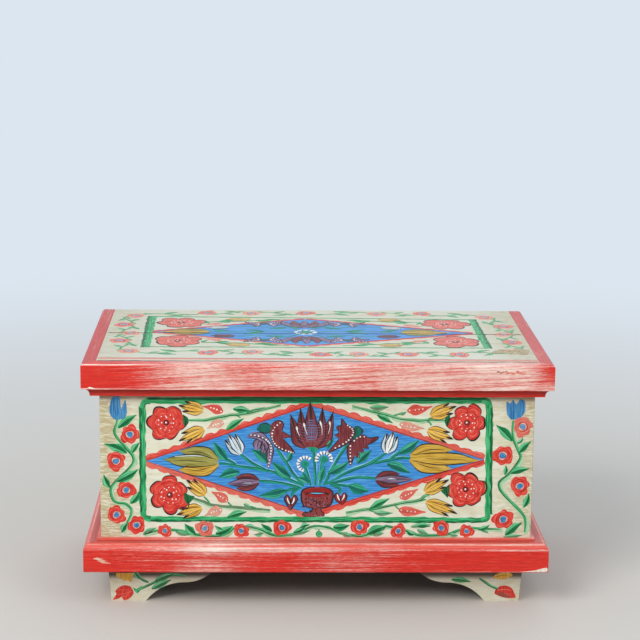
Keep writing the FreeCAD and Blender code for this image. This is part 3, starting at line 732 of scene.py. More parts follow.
def petal(canvas, colour, points, width, layer, form=forms["petal"], edge=0.55, rib=0.0, tone=0.0,
          tipped=0.0):
    # one stroke with a pen line along both edges, and if wanted along its rib and at its tip
    left, right, line = stroke(canvas, colour, points, np.array(form) * width, layer, tone, 14)
    if edge:
        pen(canvas, left[2:-1:4], edge, layer + 1)
        pen(canvas, right[2:-1:4], edge, layer + 1)
    if rib:
        pen(canvas, line[4:-3:4], rib, layer + 1)
    if tipped:
        pen(canvas, line[[-8, -5, -2]], tipped, layer + 1)


def tulip(canvas, colours, base, tip, width, layer=3, edge=0.6, flare=0.42, reach=0.86, tipped=0.0, tone=0.0):
    # two side petals bowed out from the base, and the middle one over them
    base, tip = arrays(base, tip)
    way, form = tip - base, forms["tulip"]
    out = leftOf(way) * width
    for side, colour in ((1, colours[0]), (-1, colours[2])):
        line = [base + out * 0.04 * side, base + way * reach * 0.32 + out * 0.3 * side,
                base + way * reach * 0.72 + out * 0.34 * side, base + way * reach + out * flare * side]
        petal(canvas, colour, line, width * 0.46, layer, form, edge, edge * 0.7, tone, tipped)
    line = [base, base + way * 0.4, base + way * 0.75, tip]
    petal(canvas, colours[1], line, width * 0.46, layer + 2, form, edge, edge * 0.6, tone, tipped)


def rose(canvas, centre, radius, turn, shade, layer=3, tone=0.0):
    # six-lobed bloom, paler arcs in each lobe, a thin pen line round it that is heavier on the shaded side,
    # white dots round the eye
    centre = np.asarray(centre, float)
    rim = disc(canvas, "red", centre, radius, layer, 6, 0.24, turn, tone=tone, count=60, wild=1.5)[:-1]
    for k in range(6):
        a = turn + k * math.pi / 3
        first = round((a - math.pi / 6) * 30 / math.pi)
        heavy = 0.7 + 0.65 * max(0.0, math.cos(a - math.atan2(shade[1], shade[0])))
        lobe = np.take(rim - centre, range(first, first + 11, 2), axis=0, mode="wrap")
        pen(canvas, centre + lobe * rand.uniform(0.985, 1.02), heavy, layer + 2)
        for reach, half, wide in ((0.8, 0.3, 1.5), (0.56, 0.34, 1.0)):
            arc = circle(a + np.linspace(-half, half, 5))
            bow = radius * reach * (1 - 0.12 * (np.abs(np.linspace(-1, 1, 5))) ** 2)
            pen(canvas, centre + bow[:, None] * arc, wide, layer + 1, "coral")
        notch = circle(a + math.pi / 6)
        pen(canvas, [centre + radius * q * notch for q in (0.76, 0.6, 0.44)], 0.8, layer + 1, "redDark")
    for count, reach in ((11, 0.42), (4, 0.27)):
        ring = circle(turn + np.arange(count) * 2 * math.pi / count)
        wobble = radius * (reach + 0.05 * rand.uniform(-1, 1, count))
        dots(canvas, "white", centre + wobble[:, None] * ring, radius * 0.034, layer + 2)
    disc(canvas, "ink", centre, radius * 0.155, layer + 2, count=16)
    disc(canvas, "redDark", centre, radius * 0.11, layer + 3, count=14)
    disc(canvas, "white", centre + np.array([-0.02, 0.02]) * radius, radius * 0.05, layer + 4, count=9)


def blossom(canvas, centre, radius, turn=0.0, layer=3, lobes=5, tone=0.0):
    # small border flower: lobed, paler strokes, a pale ring and a blue eye
    centre = np.asarray(centre, float)
    disc(canvas, "red", centre, radius, layer, lobes, 0.2, turn, tone=tone, count=40, wild=2.2)
    for k in range(lobes):
        arc = circle(turn + 2 * math.pi * k / lobes + np.linspace(-0.42, 0.42, 5))
        pen(canvas, centre + radius * 0.76 * arc, 1.1, layer + 1, "coral")
    disc(canvas, "redDark", centre, radius * 0.52, layer + 1, tone=0.05, count=18)
    disc(canvas, "red", centre, radius * 0.48, layer + 2, count=18)
    disc(canvas, "coral", centre, radius * 0.4, layer + 3, tone=0.75, count=18, wild=2.5)
    disc(canvas, "sky", centre, radius * 0.32, layer + 4, tone=tone * 0.6, count=16, wild=2.5)


def drop(canvas, tip, end, width, tone=0.0, layer=3):
    # teardrop bud with a row of white dots
    line = bent(tip, end, width * 0.08)
    left, _, middle = stroke(canvas, "red", line, forms["drop"] * width, layer, tone, 14)
    pen(canvas, left[4:-2:4], 0.7, layer + 1, "coral")
    dots(canvas, "white", [middle[int(k)] for k in np.linspace(7, 14, 4)], width * 0.075, layer + 2)


def starFlower(canvas, calyx, wings, dotted, layer=4):
    # a bloom seen from the side: notched petals round a green calyx, with lines of white dots
    for colour, centre, outline in wings:
        shape(canvas, colour, centre, outline, layer, 0.8)
        centre = np.asarray(centre)
        for tip in np.asarray(outline)[::3]:
            pen(canvas, [centre * 0.6 + tip * 0.4, centre * 0.25 + tip * 0.75], 0.9, layer + 1, "russet")
    shape(canvas, "tealDark", np.mean(calyx, axis=0), calyx, layer + 2)
    for line in dotted:
        count = int(gaps(line).sum() / 3.6) + 1
        dots(canvas, "white", spline(line, np.linspace(0, 1, count)), 0.95, layer + 4)


def daisy(canvas, centre, radius, start, sweep, layer=4):
    # an arc of short white petals on a pale band, dark strokes between them, over a green heart
    centre, ring = np.asarray(centre, float), circle(np.linspace(start, start + sweep, 17))
    disc(canvas, "teal", centre, radius * 0.45, layer, count=16)
    stroke(canvas, "mist", centre + radius * 0.8 * ring, [radius * 0.13], layer, rows=30)
    for k, way in enumerate(ring):
        if k % 2:
            pen(canvas, [centre + way * radius * 0.58, centre + way * radius * 0.88], 0.8, layer + 2)
        else:
            line = [centre + way * radius * 0.6, centre + way * radius * 0.8, centre + way * radius]
            stroke(canvas, "white", line, [0.7, 1.2, 1.0], layer + 1, rows=6)


def bar(canvas, a, b, width, layer=1, trim=-3.0):
    # green frame bar with a wavering edge, and a row of dark bows along its outer side
    a, b = arrays(a, b)
    way = (b - a) / np.linalg.norm(b - a)
    side = leftOf(way) * width * 0.3
    a, b, count = a + way * trim, b - way * trim, int(np.linalg.norm(b - a) / 6)
    ribbon(canvas, "leaf", [a, b], wavy(count, width * 0.46, 0.5), wavy(count, width * 0.5, 0.9), layer,
           rows=count * 3)
    bows = np.tile([0.03, 0.14, 0.2, 0.12], count // 3) * width * rand.uniform(0.6, 1.2, count // 3 * 4)
    ribbon(canvas, "leafDark", [a - side, b - side], bows, wavy(count, width * 0.2, 0.6), layer + 1,
           rows=count * 4)


def panelFrame(canvas, corners, widths, layer=3):
    # four bars, and at each corner a short bent stroke that rounds it
    for k, width in enumerate(widths):
        a, b, c = arrays(*[corners[(k + n) % 4] for n in range(3)])
        bar(canvas, a, b, width, layer, 7.0)
        back, on = (a - b) / np.linalg.norm(a - b), (c - b) / np.linalg.norm(c - b)
        line = [b + back * 9, b + back * 4.6 + on * 0.5, b + (back + on) * 1.6,
                b + on * 4.6 + back * 0.5, b + on * 9]
        stroke(canvas, "leaf", line, [width * 0.47], layer + 1)


def scallops(canvas, a, b, width, count, layer=1, tone=0.0):
    # red band of the diamond: straight on the blue side, a row of small bows outside
    a, b = arrays(a, b)
    bows = np.concatenate([np.tile([0.3, 0.56, 0.64, 0.56], count), [0.3]]) * width
    bows = bows * rand.uniform(0.85, 1.15, len(bows))
    ribbon(canvas, "red", [a, b], bows, [width * 0.5], layer, tone, 6 * count, 0.4)
    side = leftOf(b - a) * width
    for k in range(count):
        p, q = a + (b - a) * (k + 0.1) / count, a + (b - a) * (k + 0.8) / count
        pen(canvas, [p + side * 0.2, (p + q) / 2 + side * 0.42, q + side * 0.12], 1.2, layer + 1, "coral")
    pen(canvas, [p - side * 0.42 for p in (a, (a + b) / 2, b)], 1.1, layer + 2, "redDark")


def diamond(canvas, left, top, right, bottom, width, bows, layer=1):
    # blue field: height above and below its long axis falls straight to both tips; the red band runs round it
    left, top, right, bottom = arrays(left, top, right, bottom)
    way = right - left

    def slope(p):
        along = np.dot(p - left, way) / np.dot(way, way)
        high = abs((p - left)[0] * way[1] - (p - left)[1] * way[0]) / np.linalg.norm(way)
        return lambda s: np.interp(s, [0, along, 1], [0, high, 0])

    ribbon(canvas, "blue", [left, right], slope(top), slope(bottom), layer, rows=120, hand=0.0)
    for p, q, tone in ((left, top, 0.04), (top, right, 0.14), (right, bottom, 0.04), (bottom, left, 0.2)):
        out = leftOf(q - p) * width * 0.46
        scallops(canvas, p + out, q + out, width, bows, layer + 1, tone)


def garland(canvas, flowers, radius, swing, size=1.0, closed=False, tones=(0.0,), reach=2.0, wash=0.0):
    # a stem that weaves from flower to flower, with two large and two small leaves on the way
    flowers = np.asarray(flowers, float)
    for k, (p, q) in enumerate(zip(flowers[:-1], flowers[1:])):
        way = q - p
        side = leftOf(way) * swing * (-1) ** k
        stem(canvas, "leaf", [p, p + way * 0.3 + side, p + way * 0.7 - side * 0.6, q], 2.0 * size, tone=wash)
        for along, off, tipAlong, tipOff, width, pale in (
                (0.36, 0.9, 0.62, reach, 8.0, 0.0), (0.6, -0.3, 0.38, -0.8 * reach, 7.0, 0.0),
                (0.26, 0.8, 0.4, 0.1, 5.0, 0.2), (0.74, -0.5, 0.88, -1.3, 5.0, 0.2)):
            base, tip = p + way * along + side * off, p + way * tipAlong + side * tipOff
            leaf(canvas, "leaf", base, tip, width * size, 1.0, tone=wash + pale)
    for k, p in enumerate(flowers[:-1] if closed else flowers):
        blossom(canvas, p, radius, 0.4 * k, lobes=5 + k % 2, tone=tones[k % len(tones)])


print("brush strokes ready")

# front of the chest, millimetres across from its middle and up from the floor
front = {
    "frame": [(-208.5, 254.5), (-209, 108), (208, 107), (205, 256)], "bars": (8.2, 7.0, 8.8, 7.6),
    "topShadowStroke": [(203, 258), (0, 257), (-205, 257)],
    "diamond": [(-204.5, 180), (-9, 249.5), (200.5, 183), (-11, 115.2)], "band": 7.0, "bows": 14,
    # centre, radius, turn and shaded side
    "roses": [((-180.5, 227.5), 22.5, -0.05, (-1.1, 0.6)), ((-177, 138), 24, 0.52, (-1.1, -0.6)),
              ((179, 228.5), 23, 0.0, (1.0, -0.7)), ((179.5, 145.5), 23.4, 0.12, (1.0, 0.6))],
    # base and tip
    "tulips": [((-137, 243), (-166, 249)), ((-136, 220), (-166, 205)), ((-134, 139), (-157, 157)),
               ((-139, 122), (-169, 113)), ((135, 237), (166, 249)), ((132, 219), (163, 208)),
               ((130, 142), (159, 158)), ((132, 130), (170, 115))],
    # tip, round end and how pale
    "drops": [((-137, 248), (-113, 241), 0.1), ((-132, 221), (-112, 228), 0.75),
              ((-127, 142), (-107, 130), 0.2), ((-135, 112), (-114, 120), 0.6),
              ((137, 249), (107, 243), 0.1), ((128, 221), (98, 227), 0.6), ((122, 146), (100, 135), 0.2),
              ((132, 117), (99, 120), 0.15)],
}
panelFrame("front", front["frame"], front["bars"])
# dark green along the top bar, widened as painted shadow of the lid
pen("front", front["topShadowStroke"], 6.4, 5, "leafDark", 60)
diamond("front", *front["diamond"], front["band"], front["bows"])
for centre, radius, turn, shade in front["roses"]:
    rose("front", centre, radius, turn, shade)
for base, tip in front["tulips"]:
    tulip("front", ["yellow"] * 3, base, tip, 15, 3, 0.45, 0.46, 0.8, 1.5)
for tip, end, tone in front["drops"]:
    drop("front", tip, end, 12, tone)
sprays = {
    "stems": [[(-158, 231), (-140, 231), (-125, 233), (-107, 237), (-89, 239), (-71, 243), (-44, 250)],
              [(-153, 135), (-140, 131), (-129, 126), (-116, 124), (-101, 123), (-79, 121), (-56, 119)],
              [(41, 249), (63, 243), (84, 238), (98, 234), (114, 232), (130, 232), (154, 232)],
              [(35, 116), (56, 120), (74, 122), (100, 128), (123, 132), (130, 137), (136, 139)]],
    "colours": ("leaf", "leafDark", "leaf", "leaf"),
    "twigs": [[(-136, 136), (-131, 131), (-129, 126)], [(-107, 129), (-102, 124)], [(-80, 124), (-72, 121)],
              [(-98, 238), (-92, 234)], [(-85, 240), (-76, 244)], [(90, 237), (97, 239), (103, 241)],
              [(131, 232), (135, 234), (138, 236)], [(131, 231), (135, 228), (136, 225)],
              [(73, 241), (68, 245)], [(122, 131), (127, 132), (132, 133)],
              [(94, 126), (98, 122), (101, 120)], [(62, 121), (70, 117)]],
    "leaves": [((-101, 245), (-79, 242), 8), ((-78, 244), (-63, 247), 4), ((-109, 219), (-88, 233), 8),
               ((-88, 127), (-78, 123), 6), ((-108, 110), (-84, 117), 8), ((62, 247), (85, 248), 8),
               ((71, 238), (90, 228), 8), ((98, 239), (106, 242), 4), ((64, 121), (88, 134), 8),
               ((69, 116), (92, 116), 7)],
    "knots": [[(-161, 238), (-155, 234), (-154, 228), (-158, 222), (-161, 229)],
              [(-160, 142), (-154, 138), (-147, 136), (-150, 131), (-156, 126), (-160, 133)],
              [(158, 239), (153, 236), (152, 230), (155, 223), (159, 231)],
              [(160, 151), (154, 148), (150, 143), (154, 139), (158, 135), (160, 143)]],
}
for colour, line in zip(sprays["colours"], sprays["stems"]):
    washed = np.asarray(line, float) + (0, -1.6)
    ribbon("front", "leafLight", washed, wavy(10, 2.0, 1.4), wavy(10, 2.0, 1.4), 2, 0.6, 40)
    stem("front", colour, line, 3.6, 3, 0.25)
stems("front", "leaf", sprays["twigs"], 2.2, 3, 0.1)
for k, (base, tip, width) in enumerate(sprays["leaves"]):
    leaf("front", "leaf", base, tip, width, 0.8 * (-1) ** k, 4, (0.0, 0.3)[k % 2])
blobs("front", "leafDark", sprays["knots"], 4)

# bouquet on the blue
bouquet = {
    "stems": [[(-16, 150), (-28, 164), (-39, 181), (-49, 196)],
              [(-16, 149), (-28, 155), (-43, 162), (-58, 168), (-89, 173), (-118, 178)],
              [(-58, 167), (-80, 179), (-93, 190)], [(-19, 147), (-43, 153), (-73, 156)],
              [(-8, 150), (-12, 165), (-16, 176)], [(-2, 150), (-3, 175), (-5, 199)],
              [(8, 150), (17, 169), (28, 189), (36, 202)], [(11, 152), (41, 169), (62, 177), (84, 192)],
              [(62, 177), (96, 184), (114, 185)], [(15, 152), (45, 160), (73, 159)],
              [(17, 151), (27, 147), (28, 140)], [(-20, 148), (-28, 142), (-30, 136)],
              [(3, 150), (5, 172), (7, 186)], [(15, 152), (38, 150)], [(-19, 147), (-36, 144)],
              [(88, 184), (98, 191)], [(-98, 176), (-110, 183)]],
    "lights": [((-22, 155), (-47, 171)), ((-25, 150), (-62, 159)), ((20, 159), (50, 174)),
               ((26, 154), (60, 164)), ((-10, 158), (-21, 172)), ((-1, 156), (1, 177)),
               ((13, 158), (25, 178)), ((24, 149), (44, 154))],
    "leaves": [((-32, 160), (-54, 179)), ((-59, 178), (-79, 195)), ((-108, 181), (-124, 204)),
               ((-93, 167), (-118, 160)), ((-35, 144), (-70, 137)), ((-36, 180), (-31, 194)),
               ((-8, 153), (-18, 168)), ((13, 165), (38, 180)), ((48, 178), (65, 194)),
               ((97, 190), (122, 207)), ((84, 177), (112, 166)), ((38, 150), (63, 143)),
               ((4, 155), (10, 174)), ((-10, 153), (-25, 160)), ((12, 196), (20, 208))],
    "tulipLights": [[(-171, 186), (-150, 187), (-135, 186)], [(-90, 153), (-84, 153.5), (-79, 153)],
                    [(84, 158), (90, 159), (96, 158)]],
    "hearts": {"maroon": [(-31.5, 134), (-36, 138.5), (-39.5, 133), (-36, 126), (-32, 119), (-27, 126),
                          (-23, 133), (-26.5, 138.5)],
               "redDark": [(28.5, 136), (24.5, 141), (21, 137.5), (23, 131.5), (30, 125.5), (35, 131.5),
                           (36.5, 138), (32.5, 141.5)]},
}
for line in bouquet["stems"]:
    lean = 1.7 if line[-1][0] < line[0][0] else -1.7
    pen("front", np.asarray(line, float) + (lean, 2.0), 1.2, 2, "paleBlue", 20)
    stem("front", "teal", line, 3.8, 3)
pens("front", "paleBlue", [bent(*ends, 0.6) for ends in bouquet["lights"]], 1.3, 2)
leaves("front", "teal", bouquet["leaves"], 12.5, 1.4, 4)
tulip("front", ("ochre", "olive", "olive"), (-119, 179), (-184, 182), 33, 5, 0.8, 0.36, 0.72)
tulip("front", ("ochre", "ochre", "ochre"), (112, 185), (195, 182), 33, 5, 0.8, 0.34, 0.6)
tulip("front", ("mist", "mist", "mist"), (-92, 189), (-107, 214), 18, 5, 0.7, tipped=1.2)
tulip("front", ("mist", "white", "mist"), (83, 191), (91, 218), 17, 5, 0.7, tipped=1.2)
tulip("front", ("maroon", "slate", "maroon"), (-70, 155), (-108, 152), 19, 5, 0.7, 0.36, 0.74)
tulip("front", ("maroon", "slate", "maroon"), (71, 158), (116, 158), 19, 5, 0.7, 0.36, 0.64)
for colour, outline in bouquet["hearts"].items():
    middle = np.mean(outline, axis=0)
    shape("front", colour, middle, outline, 5, 0.9)
    for side in (-1, 1):
        pen("front", [middle + (side * x, z) for x, z in ((4.2, 4), (3.4, 0), (1.2, -4))], 1.8, 7, "white")
    pen("front", [middle + (0, 2), middle + (0, -6)], 1.2, 8)

# blooms seen from the side: calyx, wings about a centre, lines of dots; the left one has slate petals too
leftBloom = {
    "petals": [([(-69, 209), (-71.5, 201), (-73, 194)], (2.0, 3.4, 3.8, 3.2, 0.8)),
               ([(-63.5, 207), (-63.5, 196), (-68, 185.5)], (2.4, 3.6, 3.2, 2.0, 0.3)),
               ([(-84, 211), (-76, 212.5), (-67, 210.5), (-59.5, 202.5), (-56.5, 192.5), (-57.5, 182.5),
                 (-59, 171.5)], (0.8, 3.4, 4.2, 4.6, 4.2, 3.2, 2.6, 0.5))],
    "calyx": [(-73.5, 219.5), (-68.5, 225.5), (-61.5, 227.5), (-56, 224), (-56, 218.5), (-60, 215),
              (-67, 216.5)],
    "wings": [("maroon", (-48, 212),
               [(-58, 216.5), (-56, 225), (-50.5, 230), (-44.5, 231), (-40.5, 226), (-42.5, 217.5),
                (-30, 210.5), (-41, 208.5), (-32, 198), (-27, 189.5), (-43, 194), (-52.5, 200.5)])],
    "dotted": [[(-79.5, 213), (-70.5, 211.5), (-61.5, 207), (-57.5, 203)],
               [(-45, 228), (-52.5, 220.5), (-54.5, 211), (-52, 203.5), (-46, 197.5), (-36, 193), (-29, 191)],
               [(-55.5, 200), (-55.5, 192), (-57, 183), (-58.5, 174)]],
}
rightBloom = {
    "calyx": [(43.5, 223.5), (49.5, 223.5), (54.5, 218.5), (51, 212.5), (44, 208), (42, 209), (45, 215.5)],
    "wings": [("maroon", (33, 212),
               [(44, 222), (35, 226), (28.5, 234), (28.5, 225), (22, 223), (26, 216.5), (19.5, 212),
                (26, 209), (19, 199.5), (12, 190.5), (26, 197), (38.5, 204), (44.5, 214.5)]),
              ("maroon", (46, 203),
               [(51.5, 213), (56, 213.5), (61.5, 209.5), (75, 211), (65.5, 203), (58.5, 200.5),
                (62.5, 196.5), (55, 196.5), (56, 190), (49.5, 193), (51.5, 184), (44.5, 187), (40, 174),
                (36.5, 187), (35.5, 198.5), (42, 207)])],
    "dotted": [[(36, 225), (41.5, 220.5), (42.5, 215), (38.5, 208), (31.5, 202.5), (21.5, 197)],
               [(44, 206), (49, 210.5), (56, 211)], [(39.5, 199.5), (39.5, 189), (40, 178)]],
}
for line, form in leftBloom["petals"]:
    petal("front", "slate", line, 1.25, 4, form, 0.7, 0.6)
for bloom in (leftBloom, rightBloom):
    starFlower("front", bloom["calyx"], bloom["wings"], bloom["dotted"])

# middle tulip: a cup with five outlined petals, the middle one hatched, with long white drops of light
cup = {
    "x": -7.6, "foot": -7.5,
    "body": [(-13, 198.5), (-23.5, 206), (-28, 215), (-30.5, 226), (-25, 223), (-19.5, 231), (-14.5, 226),
             (-8.5, 236), (-2, 226.5), (4, 232), (9, 224), (16, 229), (15, 216.5), (10, 206), (-2, 198.5)],
    "petals": [([(-12.5, 199), (-23.5, 207.5), (-27.5, 222.5), (-32.8, 239)], 12.5, 5),
               ([(-2, 199), (9.5, 207.5), (13.5, 223.5), (19, 242.5)], 12.5, 5),
               ([(-10.5, 198.5), (-16.5, 210.5), (-18.5, 227), (-20.8, 246.5)], 12, 7),
               ([(-4, 198.5), (3, 210.5), (5.2, 227), (5.4, 248)], 12, 7),
               ([(-7.5, 198), (-7.5, 214.5), (-8, 232), (-9, 255)], 16, 9)],
    "lights": [[(-25, 223.5), (-24, 217.5), (-21.5, 211.5)], [(-16.5, 228), (-15, 221), (-12, 213)],
               [(3, 230.5), (5, 222), (5.5, 213)], [(14.5, 230), (15, 223.5), (13, 214.5)]],
    "light": [0.6, 1.2, 0.6, 0.4, 0.3, 0.15],
    "base": [(-12.5, 198), (4, 198.5), (0, 193), (-3, 190), (-6.5, 191)],
}
shape("front", "maroon", (cup["foot"], 212), cup["body"], 4, 0)
for line, width, layer in cup["petals"]:
    petal("front", "maroon", line, width, layer, forms["cup"], 0.9, tipped=1.4)
for k in range(-2, 3):
    line = [(cup["foot"] + x * k, z) for x, z in ((1.6, 199.5), (3.6, 204), (4.8, 211))]
    pen("front", line, 1.9, 11, "russet")
for x in np.linspace(-1, 1, 7):
    line = [(cup["foot"] + 4.2 * x, 205), (cup["x"] + 7.4 * x, 217), (-8 + 4.4 * x, 232)]
    pen("front", line, 0.7, 11, "slate")
for z in np.linspace(205, 225, 7):
    pen("front", [(-25, z + 3), (cup["x"], z - 0.6), (12, z + 3)], 0.55, 11, "slate", 20)
for z in np.linspace(207, 231, 9):
    half = 7.6 - 4.0 * ((z - 217) / 14) ** 2
    pen("front", [(cup["x"] - half, z), (cup["x"], z + 0.4), (cup["x"] + half, z)], 0.65, 12, "sky")
for z in np.linspace(234, 245, 6):
    pen("front", [(-9.6, z), (cup["x"], z)], 0.7, 12)
for line in cup["lights"]:
    stroke("front", "white", line, cup["light"], 13)
shape("front", "teal", (-4.5, 195), cup["base"], 4, 0)
pens("front", "mist", bouquet["tulipLights"], 1.3, 8)
daisy("front", (-14.5, 177), 10.5, 0.9, 3.5)
daisy("front", (8, 182.5), 11, -0.2, 3.5)

# vase: a wide bowl on a short stem and a flat foot, scribbled over
vase = {
    "foot": [(-6, 124), (-5.5, 119), (-8, 116.5), (-16, 116), (-16, 111), (8.5, 111), (8.5, 116),
             (6.5, 117), (5, 119), (5, 124)],
    "bowl": [(0.5, 148.5), (-10, 147.5), (-17, 144.5), (-19, 140), (-18.5, 131), (-16, 125.5), (-10, 122.5),
             (0, 122), (11, 122.5), (16.5, 126), (19, 132), (19.5, 140), (17.5, 144.5), (11, 147.5)],
    "mouth": [(-9.5, 140.4), (-4, 141.7), (4, 141.7), (9, 140.4), (3, 139.2), (-5, 139.2)],
    "rim": [[(-14, 138.4), (-11.5, 140.2), (-8.5, 141)], [(8.5, 141), (12, 140), (15, 137.8)]],
    # count and box of the scribbles, then their inks
    "scribbles": [(96, (-16, 15), (123.5, 135)), (24, (-15, 6), (112, 121))],
    "inks": ("ink", "slate", "maroon"),
}
shape("front", "russet", (-1.5, 116.5), vase["foot"], 5, 0.9)
shape("front", "russet", (0.5, 134), vase["bowl"], 6, 1.2)
disc("front", "redDark", (0.3, 141.4), 17.6, 7, flatten=0.34)
shape("front", "paleBlue", (0, 140.4), vase["mouth"], 8, 0.8)
pens("front", "ink", vase["rim"], 1.5, 8)
for count, across, up in vase["scribbles"]:
    for k in range(count):
        p = np.array([rand.uniform(*across), rand.uniform(*up)])
        pen("front", [p, p + rand.uniform(-2.5, 2.5, 2)], 1.0, 8, vase["inks"][k % 3])

# border of the front
border = {
    "vines": [[(-237.5, 233), (-240, 226), (-242, 213), (-228, 196), (-220, 185), (-223, 174), (-241, 155),
               (-248, 144), (-243, 130), (-230, 127), (-224, 121), (-224, 112), (-235, 92)],
              [(234, 232), (235, 211), (242, 193), (244, 184), (232, 166), (220, 154), (225, 140),
               (248, 117), (253, 105), (253, 91)],
              [(-209, 88), (-194, 93), (-170, 94), (-155, 90), (-133, 87), (-111, 88), (-96, 98), (-70, 96),
               (-52, 88), (-28, 89), (-4, 99), (16, 98)],
              [(-3, 100), (16, 97), (31, 90), (54, 87), (78, 95), (86, 99), (111, 93), (124, 88), (151, 88),
               (162, 90), (181, 97), (204, 96), (224, 95)]],
    "leaves": [((-238, 221), (-216, 237)), ((-228, 190), (-255, 201)), ((-222, 190), (-212, 203)),
               ((-241, 155), (-214, 170)), ((-249, 147), (-256, 163)), ((-224, 127), (-213, 143)),
               ((-235, 91), (-227, 103)), ((234, 206), (214, 226)), ((242, 191), (257, 206)),
               ((240, 203), (247, 211)), ((233, 166), (256, 172)), ((250, 123), (256, 141)),
               ((229, 88), (249, 104)), ((226, 164), (227, 176)), ((-146, 88), (-159, 102)),
               ((-122, 89), (-101, 99)), ((-54, 92), (-67, 102)), ((-28, 91), (-13, 99)),
               ((-113, 94), (-123, 100)), ((20, 98), (40, 100)), ((61, 89), (84, 99)),
               ((109, 94), (120, 88)), ((122, 99), (138, 99)), ((196, 95), (210, 101)),
               ((-20, 97), (-8, 101))],
    "paleLeaves": [((-209, 89.5), (-192.5, 96.5)), ((-170, 92), (-153.5, 88)), ((-87, 99), (-73, 97)),
                   ((65, 90), (82, 90)), ((114, 98), (139, 101)), ((122, 95), (136, 89)),
                   ((198, 95), (209, 90)), ((227, 86), (250, 88)), ((-26, 88), (-8, 93)),
                   ((30, 91), (44, 86)), ((-64, 90), (-76, 88)), ((160, 90), (172, 87))],
    # across, up and radius; two are paler
    "blossoms": [(-224, 213, 12), (-241, 180, 12), (-229, 144, 11.5), (-241, 113, 11.5), (-217, 100, 11.5),
                 (-183, 93, 8.5), (-135, 96, 11), (-91, 93, 9.5), (-42, 97, 11), (52, 98, 11),
                 (99, 93, 9.5), (151, 97, 10.5), (182, 93, 9), (246, 224, 12.5), (223, 188, 13),
                 (245, 150, 12.5), (226, 108, 13)],
    "paler": (6, 13),
    "tulips": [[(-241, 230.5), (-246, 235), (-248.5, 243), (-245.5, 257), (-241, 260), (-236, 259.5),
                (-234.5, 247), (-235.5, 236)],
               [(-233.5, 246), (-229, 256), (-227, 240.5), (-230, 233), (-240, 231), (-237.5, 238)],
               [(231.5, 232.5), (226.5, 240), (225.5, 255), (230, 252.5), (233.5, 257.5), (237.5, 251.5),
                (242, 258), (248, 255.5), (248.5, 242.5), (242, 233.5)]],
}
for line in border["vines"]:
    washed = np.asarray(line, float) + (1.6, -1.8)
    ribbon("front", "leafLight", washed, wavy(12, 2.4, 1.6), wavy(12, 2.4, 1.6), 1, 0.6, 60)
    stem("front", "leaf", line, 3.4, 2, 0.05)
leaves("front", "leaf", border["leaves"], 11, 1.2, 3)
leaves("front", "leaf", border["paleLeaves"], 6.5, 0.8, 2, 0.4)
for k, (x, z, radius) in enumerate(border["blossoms"]):
    blossom("front", (x, z), radius, 0.5 * k, 4, 5 + k % 2, 0.28 if k in border["paler"] else 0.0)
blobs("front", "sky", border["tulips"], 3)
stem("front", "leaf", [(3, 95), (3, 91)], 1.4)
disc("front", "leaf", (3, 89), 4, 3)
print("front painted")

